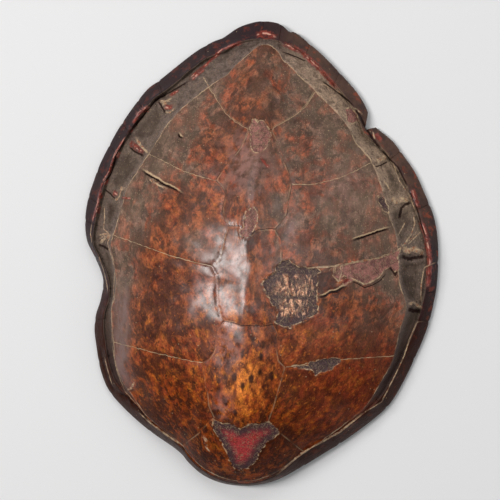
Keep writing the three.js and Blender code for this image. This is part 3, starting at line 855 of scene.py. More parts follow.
class SharedEffects:
    """Node groups that the shell's finishes draw on."""

    def __init__(self) -> None:
        """Writes the groups."""
        self.seam = self._seam()
        self.mottle = self._mottle()
        self.film = self._film()
        self.grain = self._grain()
        self.specks = self._specks()

    @staticmethod
    def _group(name: str, outputs: tuple[str, ...], **inputs: float) -> tuple[Graph, list[Wire]]:
        """Opens a group with a vector input for the place and a number input for each of the rest.

        Args:
            name: The group's name.
            outputs: Names of the number outputs.
            inputs: Names of the number inputs and what they start from.

        Returns:
            The graph to write in, and the inputs' wires with the place first.
        """
        tree = bpy.data.node_groups.new(name, "ShaderNodeTree")
        tree.interface.new_socket("Vector", in_out="INPUT", socket_type="NodeSocketVector")
        for label, start in inputs.items():
            socket = tree.interface.new_socket(label, in_out="INPUT", socket_type="NodeSocketFloat")
            socket.default_value = start
        for label in outputs:
            tree.interface.new_socket(label, in_out="OUTPUT", socket_type="NodeSocketFloat")
        graph = Graph(tree)
        return graph, graph.wires(graph.add("NodeGroupInput"))[: len(inputs) + 1]

    def _seam(self) -> bpy.types.NodeTree:
        """A thin uneven line where a signed distance passes zero."""
        g, given = self._group("scute seam", ("Line",), Distance=0.0, Width=1.2, Wander=1.0)
        here, distance, width, wander = given
        moved = distance + (g.noise(here, 9.0, 3.0) - 0.5) * (wander * 4.0)
        worn = width * g.step(g.noise(here, 14.0, 2.0), 0.3, 0.62, 0.45, 1.0)
        return g.close(Line=g.line(moved, worn * 0.45, worn * 1.25))

    def _mottle(self) -> bpy.types.NodeTree:
        """Irregular spots: fine noise cut at a level that a broad noise raises and lowers."""
        g, given = self._group("horn mottling", ("Spots",), Size=12.0, Cover=0.5, Softness=0.08)
        here, size, cover, softness = given
        fine = g.noise(here, size, 3.5, 0.6, 0.35)
        broad = g.noise(here, size * 4.2, 2.0, 0.5)
        level = 0.69 - cover * 0.38
        return g.close(Spots=g.step(fine * 0.72 + broad * 0.28, level - softness, level + softness))

    def _film(self) -> bpy.types.NodeTree:
        """Settled dust: a cloudy film with a fine grit in it."""
        g, (here, amount) = self._group("settled dust", ("Film",), Amount=0.5)
        cloud = g.noise(here, 42.0, 4.0, 0.6)
        grit = g.noise(here, 1.6, 2.0, 0.6)
        texture = g.step(cloud, 0.28, 0.72, 0.45, 1.15) + (grit - 0.5) * 0.7
        return g.close(Film=g.math("MULTIPLY", amount, texture, clamp=True))

    def _grain(self) -> bpy.types.NodeTree:
        """Fine streaks along Y: stretched noise, as a height and as a tone about one half."""
        g, (here, size) = self._group("fine grain", ("Height", "Tone"), Size=2.0)
        streak = g.noise(g.place(here, scale=(1.0, 0.3, 1.0)), size, 3.0, 0.6)
        return g.close(Height=streak, Tone=g.step(streak, 0.3, 0.7))

    def _specks(self) -> bpy.types.NodeTree:
        """Scattered specks: cell noise kept where the cell's centre is near and its lot is drawn."""
        g, given = self._group("scattered specks", ("Specks",), Size=6.0, Share=0.1, Reach=0.17)
        here, size, share, reach = given
        cells = g.fill(g.add("ShaderNodeTexVoronoi", feature="F1"), Vector=here, Scale=MM_IN_METRE / size)
        distance, colour = g.wires(cells)[:2]
        drawn = g.math("LESS_THAN", g.parts(colour)[0], share)
        wobble = g.noise(here, size * 0.5, 3.0, 0.6) - 0.5
        near = g.step(distance + wobble * reach * 0.8, reach * 0.4, reach, 1.0, 0.0)
        return g.close(Specks=drawn * near)


# ---- Finishes ----


@dataclass(frozen=True)
class HornReading:
    """What every part of the horn finish reads: the graph, the place, the edges and the wear."""

    g: Graph
    effects: SharedEffects
    here: Wire
    across: Wire
    along: Wire
    middle: Wire
    middle_row: Wire
    side_row: Wire
    to_seam: Wire
    to_ridge: Wire
    rim_row: Wire
    dust: Wire
    warmth: Wire
    low: Wire
    on_dome: Wire
    on_middle: Wire

    def seam(self, distance: Wire, width: float, wander: float) -> Wire:
        """A seam drawn where a signed distance passes zero."""
        inputs = {"Vector": self.here, "Distance": distance, "Width": width, "Wander": wander}
        return self.g.use(self.effects.seam, **inputs)["Line"]

    def mottle(self, place: Wire, size: float, cover: Feed, softness: float) -> Wire:
        """Irregular spots that cover a share of the horn."""
        inputs = {"Vector": place, "Size": size, "Cover": cover, "Softness": softness}
        return self.g.use(self.effects.mottle, **inputs)["Spots"]

    def specks(self, place: Wire, size: float, share: float, reach: float = 0.17) -> Wire:
        """Scattered specks, one in each cell whose lot is drawn."""
        inputs = {"Vector": place, "Size": size, "Share": share, "Reach": reach}
        return self.g.use(self.effects.specks, **inputs)["Specks"]


@dataclass(frozen=True)
class HornFinish:
    """Lacquered tortoiseshell: dark spots on an amber to red-brown ground, dulled by dust."""

    amber: tuple = srgb(214, 122, 50)
    amber_spot: tuple = srgb(84, 40, 20)
    russet: tuple = srgb(152, 68, 18)
    russet_spot: tuple = srgb(44, 18, 8)
    ember: tuple = srgb(126, 50, 28)
    gold: tuple = srgb(222, 134, 40)
    clay: tuple = srgb(158, 86, 52)
    clay_spot: tuple = srgb(60, 37, 32)
    tan: tuple = srgb(127, 98, 85)
    taupe: tuple = srgb(49, 35, 36)
    brick: tuple = srgb(176, 77, 47)
    dust: tuple = srgb(131, 114, 95)
    gutter: tuple = srgb(102, 88, 82)
    gutter_deep: tuple = srgb(54, 42, 38)
    gutter_low: tuple = srgb(72, 56, 52)
    gutter_pale: tuple = srgb(168, 142, 120)
    slate: tuple = srgb(50, 38, 42)
    slate_brown: tuple = srgb(92, 68, 58)
    slate_low: tuple = srgb(54, 27, 18)
    crest: tuple = srgb(142, 62, 50)
    crest_deep: tuple = srgb(108, 44, 36)
    # Painted highlight: the glint colour along the crest.
    crest_highlight: tuple = srgb(226, 172, 152)
    cream: tuple = srgb(206, 178, 142)
    # Dark of the cracks and clefts, also laid as painted shadow under ridges and ledges.
    cleft: tuple = srgb(36, 21, 18)
    crimson: tuple = srgb(172, 60, 60)
    plum: tuple = srgb(78, 54, 56)
    mauve: tuple = srgb(156, 108, 98)
    charcoal: tuple = srgb(86, 68, 67)
    streak: tuple = srgb(248, 190, 154)
    # Painted sheen: the grey-mauve reflection laid over the left facet.
    painted_sheen: tuple = srgb(128, 104, 100)
    # Painted highlight: the light pink laid over the dome where the lights reflect.
    painted_highlight_tone: tuple = srgb(172, 126, 118)
    coat_roughness: float = 0.29
    coat_ior: float = 1.58
    horn_ior: float = 1.5
    horn_specular: float = 0.04

    def material(self, effects: SharedEffects) -> bpy.types.Material:
        """Writes the material.

        Args:
            effects: The shared node groups.

        Returns:
            The finished material.
        """
        made, g = new_material("lacquered_tortoiseshell")
        here = g.here()
        across, along, _ = g.parts(here)
        middle, middle_row, side_row = g.read("plate_lines")
        to_seam, to_ridge, painted_highlight = g.read("rim_edges")
        rim_row, crack, crack_open = g.read("marks")
        dust, warmth, lost = g.read("wear")
        low, painted_sheen, gloss = g.read("zones")
        on_dome = g.step(to_seam, -1.2, 1.2)
        on_middle = g.step(middle, -1.0, 1.0)
        r = HornReading(
            g, effects, here, across, along, middle, middle_row, side_row, to_seam, to_ridge, rim_row,
            dust, warmth, low, on_dome, on_middle,
        )

        colour = self._horn(r)
        # Painted sheen: a grey-mauve reflection laid as colour over the left facet, broken into streaks.
        sheen_breakup = g.noise(g.place(here, scale=(1.0, 0.4, 1.0)), 20.0, 5.0, 0.62)
        colour = g.mix(painted_sheen * g.step(sheen_breakup, 0.34, 0.62, 0.3, 0.92), colour, self.painted_sheen)
        # Painted highlights: soft glows laid as colour over the dome, broken by noise.
        highlight_breakup = g.step(g.noise(here, 19.0, 5.0, 0.64), 0.38, 0.58, 0.05, 1.0)
        colour = g.mix(painted_highlight * highlight_breakup, colour, self.painted_highlight_tone)
        colour = self._rim(r, colour)
        film = g.use(effects.film, Vector=here, Amount=dust)["Film"]
        colour = g.mix(film * 0.4, colour, self.dust)
        grit = r.specks(here, 4.2, 0.5, 0.34)
        colour = g.mix(grit * g.step(dust, 0.3, 0.9, 0.0, 0.3), colour, self.cream)
        stain = g.read("red_marks")[2] + (g.noise(here, 9.0, 4.0, 0.6) - 0.5) * 9.0
        colour = g.mix(g.step(stain, -1.5, 2.5, 0.0, 0.7), colour, self.clay_spot)
        colour, lines = self._seams(r, colour)
        colour, bare, bare_height = self._bared(r, colour, lost)
        colour, red = self._rim_marks(r, colour)
        crack = crack + (g.noise(here, 5.0, 3.0, 0.6) - 0.5) * 4.0
        split = g.line(crack, 0.8, 2.8) * crack_open
        lip = g.line(crack - 3.2, 0.6, 2.6) * crack_open
        colour = g.mix(lip * 0.75, colour, self.cream)
        colour = g.mix(split, colour, self.cleft)
        colour = g.mix(r.specks(here, 8.0, 0.07) * 0.55, colour, self.cream)

        smear = g.step(g.noise(here, 18.0, 4.0, 0.6), 0.3, 0.7, -0.06, 0.08)
        rough = g.step(film, 0.0, 0.8, 0.36, 0.56) + smear + bare * 0.1
        smeared = g.step(g.noise(here, 16.0, 5.0, 0.64), 0.34, 0.6, 0.5, 1.0)
        coat = g.math("ADD", gloss, red * 0.5, clamp=True) * smeared
        coat = coat * g.step(film, 0.1, 0.9, 1.0, 0.35) * g.step(bare, 0.0, 1.0, 1.0, 0.3)
        fine = g.use(effects.grain, Vector=here, Size=1.6)["Height"]
        in_gutter = g.step(to_seam, 0.0, -4.0) * g.step(to_ridge, -1.0, 2.0)
        height = g.noise(here, 6.0, 3.0, 0.55) * (0.9 + in_gutter * 2.0) + fine * 0.22
        height = height - lines * g.step(bare, 0.0, 1.0, 0.6, 0.0) - split * 1.8 + bare_height
        g.surface(
            height, Base_Color=colour, Roughness=rough, Coat_Weight=coat, Coat_Roughness=self.coat_roughness,
            Coat_IOR=self.coat_ior, IOR=self.horn_ior, Specular_IOR_Level=self.horn_specular,
        )
        return made

    def _horn(self, r: HornReading) -> Wire:
        """The mottled horn itself, its spots drawn out along each side's growth."""
        g, here, across, along, warmth, low = r.g, r.here, r.across, r.along, r.warmth, r.low
        turned = g.add("ShaderNodeVectorRotate", rotation_type="Z_AXIS")
        g.fill(turned, Vector=here, Angle=g.math("SIGN", across) * 0.6)
        side_place = g.place(g.wires(turned)[0], scale=(1.0, 0.72, 1.0), shift=(0.3, 0.1, 0.0))
        middle_place = g.place(here, scale=(1.0, 0.58, 1.0))
        grown = g.mix(r.on_middle, side_place, middle_place)
        deepness = g.read("cream_and_highlight_marks")[2]
        drift = g.noise(here, 34.0, 5.0, 0.62) - 0.5
        hazy = g.math("ADD", r.dust, drift * 0.9, clamp=True)
        clear = g.step(hazy, 0.5, 0.05)
        glow = g.math("ADD", warmth, drift * 1.6, clamp=True)
        hue = g.noise(g.place(grown, shift=(0.2, 0.5, 0.1)), 15.0, 5.0, 0.62, 0.5)

        level = 0.43 + (warmth * 0.12 + hazy * -0.03) - deepness * 0.07
        cloud = g.step(g.noise(grown, 31.0, 4.5, 0.56, 0.6), level, level + 0.15)
        spots = r.mottle(grown, 12.0, 0.42 + low * 0.06 - warmth * 0.14, 0.07)
        small = g.step(g.noise(grown, 5.0, 3.0, 0.65), 0.5, 0.66, 0.0, 0.6)
        spots = g.most(cloud * 0.92, spots, small)
        dark = g.mix(low, self.clay_spot, self.russet_spot)
        dark = g.mix(warmth, dark, self.amber_spot)
        dark = g.mix(g.step(hazy, 0.1, 0.9), dark, self.taupe)

        ground = g.mix(low, self.clay, self.russet)
        ground = g.mix(g.step(glow, 0.25, 1.0), ground, self.amber)
        ground = g.mix(g.step(hue, 0.52, 0.36, 0.0, 0.8), ground, self.ember)
        gilt = g.step(hue, 0.54, 0.66, 0.0, 0.8) * clear * g.step(warmth, 0.0, 0.5, 0.35, 1.0)
        ground = g.mix(gilt, ground, self.gold)
        kindled = g.noise(g.place(grown, shift=(0.7, 0.2, 0.4)), 34.0, 6.0, 0.6, 0.4)
        embers = g.step(kindled - deepness * 0.06, 0.45, 0.6)
        dull = g.mix(embers * g.step(hazy, 0.6, 1.0, 0.9, 0.4), self.tan, self.brick)
        ground = g.mix(g.step(hazy, 0.2, 0.85), ground, dull)
        calm = g.step(across, 0.05, 0.16) * g.step(along, -0.1, -0.2)
        ground = g.mix(calm * g.step(hue, 0.4, 0.6, 0.8, 0.35), ground, self.ember)

        strength = g.step(hazy, 0.1, 0.95, 0.9, 0.76) * g.step(calm, 0.0, 1.0, 1.0, 0.72)
        horn = g.mix(spots * strength, ground, dark)
        flecks = g.step(g.noise(grown, 6.0, 3.0, 0.6), 0.57, 0.7) * clear
        horn = g.mix(flecks * g.step(warmth, 0.0, 0.5, 0.3, 0.6), horn, self.amber)
        horn = g.tint(horn, g.step(warmth, 0.25, 0.8, 1.0, 1.1))
        drops = r.specks(g.place(here, scale=(1.0, 0.58, 1.0)), 16.0, 0.62, 0.46)
        horn = g.mix(drops * g.step(warmth, 0.08, 0.45, 0.0, 0.95), horn, self.russet_spot)
        streaks = g.noise(g.place(here, scale=(1.0, 0.14, 1.0)), 8.0, 3.0, 0.6)
        streaks = g.step(streaks, 0.34, 0.66, -0.2, 0.2) * g.step(hazy, 0.1, 0.8, 0.4, 1.1)
        horn = g.tint(horn, 1.0 + streaks)
        horn = g.tint(horn, g.step(g.noise(grown, 15.0, 5.0, 0.62), 0.32, 0.68, 0.72, 1.3))
        # Painted shade: the neck-end scute is darkened, and its right side more so.
        horn = g.tint(horn, g.step(along, -0.3, -0.37, 1.0, 0.74))
        shaded = g.step(along, -0.3, -0.36) * g.step(across, 0.02, 0.06)
        horn = g.mix(shaded * 0.4, horn, self.russet_spot)
        lit = hazy * g.step(across, -0.01, 0.15)
        horn = g.tint(horn, g.step(lit, 0.3, 1.0, 1.0, 1.1))
        return g.tint(horn, g.step(g.noise(middle_place, 2.6, 3.0, 0.7), 0.3, 0.72, 0.7, 1.34))

    def _rim(self, r: HornReading, horn: Wire) -> Wire:
        """The gutter, its dark pits between the rib ends, and the dark rolled band outside it."""
        g, here, across, along = r.g, r.here, r.across, r.along
        pit = g.read("cleft_and_shadow_marks")[2]
        stain = g.noise(here, 15.0, 6.0, 0.66, 0.4)
        pale = g.step(along, 0.0, 0.2) * g.step(across, -0.05, 0.16)
        gutter = g.mix(pale * 0.9, self.gutter, self.gutter_pale)
        gutter = g.mix(g.step(stain, 0.46, 0.64, 0.0, 0.6), gutter, self.taupe)
        gutter = g.mix(g.step(stain, 0.5, 0.34, 0.0, 0.4), gutter, self.tan)
        gutter = g.tint(gutter, g.step(r.to_ridge, 2.0, 26.0, 0.62, 1.0))
        gutter = g.tint(gutter, g.step(g.noise(here, 4.0, 4.0, 0.7), 0.3, 0.7, 0.66, 1.36))
        gutter = g.tint(gutter, g.step(r.to_seam, -12.0, -1.0, 1.0, 1.25))
        hollow = g.step(pit, -3.0, 9.0) * g.step(g.noise(here, 22.0, 4.0, 0.6), 0.35, 0.6, 0.45, 0.9)
        gutter = g.mix(hollow, gutter, self.gutter_deep)
        gutter = g.mix(g.step(along, -0.05, -0.2, 0.0, 0.9), gutter, self.gutter_low)
        gutter = g.mix(g.step(along, -0.26, -0.34), gutter, horn)
        neck_end = g.step(along, 0.02, -0.22)
        upper = g.step(across, -0.02, 0.1) * g.step(along, 0.0, 0.14)
        upper = upper * g.step(g.noise(here, 30.0, 5.0, 0.6), 0.35, 0.6, 0.35, 0.95)
        band = g.mix(upper, self.slate, self.slate_brown)
        band = g.mix(neck_end, band, self.slate_low)
        rust = g.step(g.noise(here, 20.0, 5.0, 0.62), 0.54, 0.66) * g.step(across, -0.2, 0.15, 0.12, 0.4)
        band = g.mix(rust * g.step(neck_end, 0.0, 1.0, 1.0, 0.3), band, self.brick)
        colour = g.mix(r.on_dome, gutter, horn)
        return g.mix(g.step(r.to_ridge, 1.0, -1.0), colour, band)

    def _rim_marks(self, r: HornReading, colour: Wire) -> tuple[Wire, Wire]:
        """Red knobs and crest with painted glints, pale edges and painted highlight lines, dark clefts and
        painted shadows.
        """
        g, here = r.g, r.here
        crumbs = (g.noise(here, 6.0, 4.0, 0.68) - 0.5) * 3.0
        share, near, _ = g.read("red_marks")
        red = near * g.line(share + crumbs, 0.5, 1.4)
        lumps = g.noise(g.place(here, shift=(0.3, 0.3, 0.3)), 11.0, 4.0, 0.64)
        crest = g.mix(g.step(lumps, 0.44, 0.58), self.crest_deep, self.crest)
        colour = g.mix(red * g.step(lumps, 0.32, 0.48, 0.55, 0.9), colour, crest)
        # Painted highlight: pale glints along the middle of the crest and knobs.
        spine = g.line(share + crumbs * 0.35, 0.05, 0.5)
        glint = red * spine * g.step(g.noise(here, 14.0, 3.0, 0.6), 0.48, 0.6)
        colour = g.mix(glint * 0.75, colour, self.crest_highlight)
        # Pale broken edges, and painted highlight lines drawn in the same pale tones.
        share, near, _ = g.read("cream_and_highlight_marks")
        cream = near * g.line(share + crumbs, 0.7, 1.6)
        fades = g.step(g.noise(here, 12.0, 4.0, 0.65), 0.36, 0.56, 0.3, 0.9)
        tone = g.mix(g.step(g.noise(here, 4.5, 3.0, 0.7), 0.4, 0.62), self.gutter_pale, self.cream)
        tone = g.mix(g.step(g.noise(here, 7.5, 4.0, 0.7), 0.52, 0.64, 0.0, 0.8), tone, self.clay)
        colour = g.mix(cream * fades, colour, tone)
        # Dark clefts, and painted shadows under the rib ends, ledges and lips.
        share, near, _ = g.read("cleft_and_shadow_marks")
        cleft = near * g.line(share + crumbs * 0.7, 0.6, 1.6)
        return g.mix(cleft * 0.92, colour, self.cleft), red

    def _bared(self, r: HornReading, colour: Wire, lost: Wire) -> tuple[Wire, Wire, Wire]:
        """The layer under lost horn, with a pale broken edge round it."""
        g, here, across, along = r.g, r.here, r.across, r.along
        kind = g.read_one("lost_kind")
        lost = lost + (g.noise(here, 7.0, 4.0, 0.65) - 0.5) * 7.0
        bare = g.step(lost, -0.5, 0.7)
        salt = g.noise(here, 2.4, 3.0, 0.7)
        layer = g.noise(here, 15.0, 5.0, 0.7, 0.4)
        streaks = r.mottle(g.place(here, scale=(1.0, 0.3, 1.0)), 4.6, 0.5, 0.06)
        upper_row = g.step(along, -0.08, -0.076) * g.step(along, -0.034, -0.042)
        lower_row = g.step(along, -0.12, -0.114) * g.step(along, -0.082, -0.086)
        cluster = g.step(g.noise(here, 20.0, 4.0, 0.66), 0.42, 0.56, 0.12, 1.0)
        streaks = streaks * g.step(lost, 3.0, 9.0) * g.most(upper_row, lower_row) * cluster
        streaks = streaks * g.step(across, 0.05, 0.078, 0.2, 1.0)
        flakes = g.mix(g.step(g.noise(here, 7.0, 4.0, 0.65), 0.36, 0.52), self.clay, self.streak)
        streaked = g.mix(streaks, self.charcoal, flakes)
        redness = g.step(lost, 6.0, 24.0) * g.step(salt, 0.3, 0.55, 0.4, 1.0)
        crimson = g.mix(redness, self.plum, self.crimson)
        mauve = g.mix(g.step(layer, 0.49, 0.53, 0.0, 0.5), self.mauve, self.plum)
        under = g.mix(g.step(kind, 0.4, 0.6), streaked, crimson)
        under = g.mix(g.step(kind, 1.4, 1.6), under, mauve)
        under = g.mix(g.step(kind, 2.4, 2.6), under, self.charcoal)
        under = g.tint(under, g.step(salt, 0.35, 0.68, 0.66, 1.4))
        cover = bare * g.step(g.noise(here, 16.0, 3.0), 0.3, 0.45, 0.7, 1.0)
        colour = g.mix(cover, colour, under)
        edge = g.line(lost + 0.7, 0.3, 1.6)
        chipped = g.step(g.noise(here, 8.0, 2.0), 0.42, 0.6)
        colour = g.mix(edge * chipped * 0.7, colour, self.cream)
        flake_edge = g.line(layer - 0.52, 0.004, 0.02) * bare
        colour = g.mix(flake_edge * 0.5, colour, self.cream)
        height = bare * (salt - 0.5) * 1.6 + bare * g.step(layer, 0.49, 0.53) * 0.9
        return colour, bare, height - bare * 0.8

    def _seams(self, r: HornReading, colour: Wire) -> tuple[Wire, Wire]:
        """Pale seams between the side scutes and faint dark ones along the middle row."""
        g, on_dome, on_middle = r.g, r.on_dome, r.on_middle
        fades = g.step(g.noise(r.here, 30.0, 3.0), 0.42, 0.62, 0.1, 1.0)
        side = r.seam(r.side_row, 0.85, 1.2) * (1.0 - on_middle) * on_dome
        border = r.seam(r.middle, 0.85, 1.1) * on_dome
        row = r.seam(r.middle_row, 1.2, 1.2) * on_middle * on_dome
        edge = r.seam(r.to_seam, 1.2, 1.4) * fades
        rim = r.seam(r.rim_row, 0.9, 0.6) * (1.0 - on_dome) * g.step(r.to_ridge, 9.0, 2.0, 0.25, 1.0)
        beside = g.most(g.line(r.middle_row - 2.2, 0.4, 1.6), g.line(r.middle - 2.2, 0.5, 1.8))
        beside = beside * on_middle * on_dome * fades
        colour = g.mix(beside * 0.24, colour, self.cream)
        dark = g.most(border * fades * 0.7, row)
        colour = g.mix(dark * 0.8, colour, self.russet_spot)
        tail = border * g.step(r.along, 0.2, 0.25) * 0.75
        pale = g.most(side, tail, edge * 0.85)
        colour = g.mix(pale * 0.7, colour, self.cream)
        colour = g.mix(rim * 0.55, colour, self.russet_spot)
        return colour, g.most(dark, side, rim)


@dataclass(frozen=True)
class BoneFinish:
    """The unlacquered hollow: dry buff bone, darker in its dips, with dust and fine pores."""

    buff: tuple = srgb(196, 172, 134)
    tan: tuple = srgb(150, 116, 80)
    stain: tuple = srgb(92, 66, 46)

    def material(self, effects: SharedEffects) -> bpy.types.Material:
        """Writes the material.

        Args:
            effects: The shared node groups.

        Returns:
            The finished material.
        """
        made, g = new_material("dry_bone")
        here = g.here()
        colour = g.mix(g.step(g.noise(here, 48.0, 4.0, 0.6), 0.35, 0.7), self.buff, self.tan)
        stain = g.use(effects.mottle, Vector=here, Size=22.0, Cover=0.3, Softness=0.12)["Spots"]
        colour = g.mix(stain * 0.55, colour, self.stain)
        colour = g.mix(g.read_one("rib_rise") * 0.5, colour, self.buff)
        grain = g.use(effects.grain, Vector=g.place(here, turn=math.pi / 2), Size=3.0)
        colour = g.mix(grain["Tone"] * 0.22, colour, self.stain)
        pores = g.use(effects.specks, Vector=here, Size=5.0, Share=0.3)["Specks"]
        colour = g.mix(pores * 0.5, colour, self.stain)
        film = g.use(effects.film, Vector=here, Amount=0.5)["Film"]
        rough = g.step(film, 0.0, 0.8, 0.55, 0.8)
        g.surface(grain["Height"] * 0.7 + pores * -0.6, Base_Color=colour, Roughness=rough)
        return made


# ---- The shell ----


@dataclass(frozen=True)
class PlanGrid:
    """Where the surface's points lie in plan: one row for each ring and one column for each ray."""

    s: Section
    x: Array
    y: Array
    radius: Array

    @property
    def to_seam(self) -> Array:
        """How far inside the seam between dome and gutter each point is."""
        return self.s.seam - self.radius

    @property
    def to_ridge(self) -> Array:
        """How far inside the rim's ridge each point is."""
        return self.s.ridge - self.radius

    def swell(self, length: float, seed: int) -> Array:
        """Random smooth swell over the plan."""
        return waves(self.x, self.y, length, seed)

    def oval(self, x: float, y: float, wide: float, long: float) -> Array:
        """An oval bell about a plan point: the product of a bell across and a bell along."""
        return hump((self.x - x) / wide, 1.0) * hump((self.y - y) / long, 1.0)

    def ovals(self, table: Ovals) -> Array:
        """A sum of oval bells, each as high as its last number, which may be negative."""
        return sum(strength * self.oval(*place) for *place, strength in table)


@dataclass
class Carapace:
    """The whole shell as one closed mesh: outside, rolled rim, rest strip and hollow."""

    form: ShellForm = field(default_factory=ShellForm)
    plates: PlateMap = field(default_factory=PlateMap)
    rays: int = 640
    dome_rings: int = 82
    gutter_rings: int = 17
    crest_rings: tuple[float, ...] = (-7.4, -5.6, -4.4, -3.3, -2.2, -1.2, -0.2)
    outer_rings: tuple[float, ...] = (1.0, 2.6, 4.6)
    band_rings: int = 6
    seam_inside: float = 2.4
    seam_outside: float = 2.2
    crest_inside: float = 9.4
    tight_below: float = 2.5
    tight_span: float = 11.0
    tightest: float = 0.12
    ridge_margin: float = 7.0
    shoulder: float = 5.4
    foot_inset: float = 15.0
    hollow_inset: float = 6.0
    upper_face: Knots = ((0.0, 1.0), (0.4, 4.5))
    lower_face: Knots = ((1.8, 3.0), (4.0, 0.5), (6.0, 0.0))
    inner_face: Knots = ((11.0, 0.0), (13.0, 3.5))
    hollow_rings: int = 16
    shrink: float = 0.998
    gutter_wall: float = 9.0
    rim_wall: float = 9.0
    crown_limit: float = 213.9
    notch_angle: float = 57.2
    notch_depth: float = 17.0
    notch_half_width: float = 1.7
    notch_extra_rays: float = 2.5
    notch_reach: float = 3.5
    nick_depth: float = 1.5
    nick_width: float = 3.0
    broad_swell: float = 0.95
    fine_swell: float = 0.35
    horn_drop: float = 1.8
    scute_rounding: float = 1.1
    seam_groove: float = 0.9
    knob_x: float = 3.0
    knobs: Knots = ((265, 1.0), (78, 2.4), (-95, 2.4), (-285, 2.0))
    lost_drop: float = 2.1
    lost_lip: float = 0.9
    crack_lip: float = 1.2
    crack_depth: float = 3.0
    gutter_lumps: float = 0.8
    pit_drop: float = 2.4
    rim_rounding: float = 0.8
    rim_groove: float = 1.3
    rib_foot: float = 8.0
    rib_depth: float = 4.2
    backbone_depth: float = 12.5
    bead_length: float = 68.0
    ribs: tuple[tuple[float, float, float], ...] = (
        (-262, 246, -272), (-200, 282, -190), (-125, 290, -128), (-45, 292, -62), (35, 290, 20),
        (110, 276, 112), (185, 232, 198), (255, 160, 284),
    )
    blotches: Ovals = (
        (-165, -139, 50, 44, 1.0), (70, 222, 22, 38, 0.8), (0, 141, 34, 44, 0.5), (5, 17, 20, 24, 0.7),
        (-84, -33, 16, 30, 0.5), (225, -243, 34, 24, 0.6), (106, -275, 28, 16, 0.6),
        (-96, 98, 26, 56, -1.0), (-15, 374, 22, 28, -0.7), (136, 206, 40, 14, -0.6),
        (-159, 26, 26, 30, -0.8), (21, -101, 26, 26, -0.8), (168, -87, 56, 18, -0.5),
        (-215, 83, 14, 26, -0.6), (-61, 331, 14, 30, -0.6), (-8, 346, 44, 40, 1.0),
        (7, 276, 50, 24, 0.8), (-121, 217, 22, 34, 0.9), (-37, 202, 14, 26, 0.8),
        (-218, 231, 26, 40, 0.7), (62, 331, 14, 22, -1.2), (-41, 290, 20, 16, -0.7),
        (-81, 173, 20, 22, -1.0), (21, 121, 20, 26, -0.5), (-42, 99, 16, 34, 0.6),
        (-224, 15, 22, 44, 0.8), (-196, -72, 20, 40, 0.7), (-140, -98, 26, 26, 0.6),
        (-258, -165, 20, 40, 0.6), (181, 52, 30, 30, 0.5), (-109, -224, 26, 16, -0.7),
        (-59, -93, 12, 40, -0.6), (162, -170, 60, 10, 0.5), (240, -139, 20, 50, 0.7),
        (-47, 142, 20, 36, -0.8), (60, 158, 16, 30, -0.5), (-150, -285, 60, 44, 0.5),
        (30, 168, 18, 22, 0.9), (-30, 150, 22, 16, 0.7),
    )
    # Painted highlights: ovals of soft glow on the dome, each its place, sizes and strength.
    painted_highlight_ovals: Ovals = (
        (-30, -179, 28, 50, 0.62), (-35, -294, 20, 26, 0.52), (-12, 172, 50, 66, 0.58),
        (-81, -21, 22, 60, 0.34), (83, 43, 14, 56, 0.46), (-97, -95, 12, 26, 0.42),
        (-22, -12, 15, 46, 0.68), (168, 132, 56, 46, 0.34),
    )
    lip_rise: Knots = (
        (0, 4.0), (45, 4.0), (60, 3.5), (85, 2.5), (100, 5.0), (130, 6.0), (160, 5.5), (185, 4.0),
        (200, 3.5), (225, 4.0), (245, 3.5), (270, 1.5), (290, 3.0), (320, 4.0), (345, 4.0),
    )
    crest_width: Knots = (
        (0, 8.5), (20, 8.0), (40, 6.0), (60, 4.5), (90, 4.0), (120, 4.2), (160, 4.2), (200, 3.6),
        (240, 3.4), (270, 3.0), (300, 3.4), (325, 5.0), (340, 8.0),
    )
    cleft_depth: Knots = (
        (0, 5.0), (30, 5.0), (50, 6.5), (75, 5.0), (90, 1.0), (105, 6.5), (130, 7.5), (160, 6.5),
        (175, 5.0), (200, 4.0), (230, 4.5), (250, 3.5), (270, 1.0), (290, 3.5), (320, 5.0),
    )
    # Outline of the left facet that carries the painted sheen.
    painted_sheen_facet: Path = (
        (-296, -40), (-236, -50), (-228, -150), (-226, -276), (-246, -300), (-262, -296),
        (-286, -236), (-296, -176),
    )

    def rays_at(self) -> Array:
        """Angles of the rays, closer together at the break in the rim."""
        fine = np.linspace(0.0, 360.0, 7201)
        density = 1.0 + self.notch_extra_rays * hump(fine - self.notch_angle, self.notch_reach)
        run = np.concatenate([[0.0], np.cumsum((density[1:] + density[:-1]) / 2)])
        return np.interp(np.arange(self.rays) / self.rays * run[-1], run, fine)

    def broken_rim(self, s: Section) -> Array:
        """The outline with its one break and a small nick at each rim seam."""
        gap = np.abs(s.degrees - self.notch_angle)
        notch = self.notch_depth * np.clip(1.25 - gap / self.notch_half_width, 0.0, 1.0)
        nick = self.nick_depth * hump(self.plates.rim_depth(s.degrees, s.rim), self.nick_width)
        return s.rim * self.shrink - np.maximum(notch, nick)

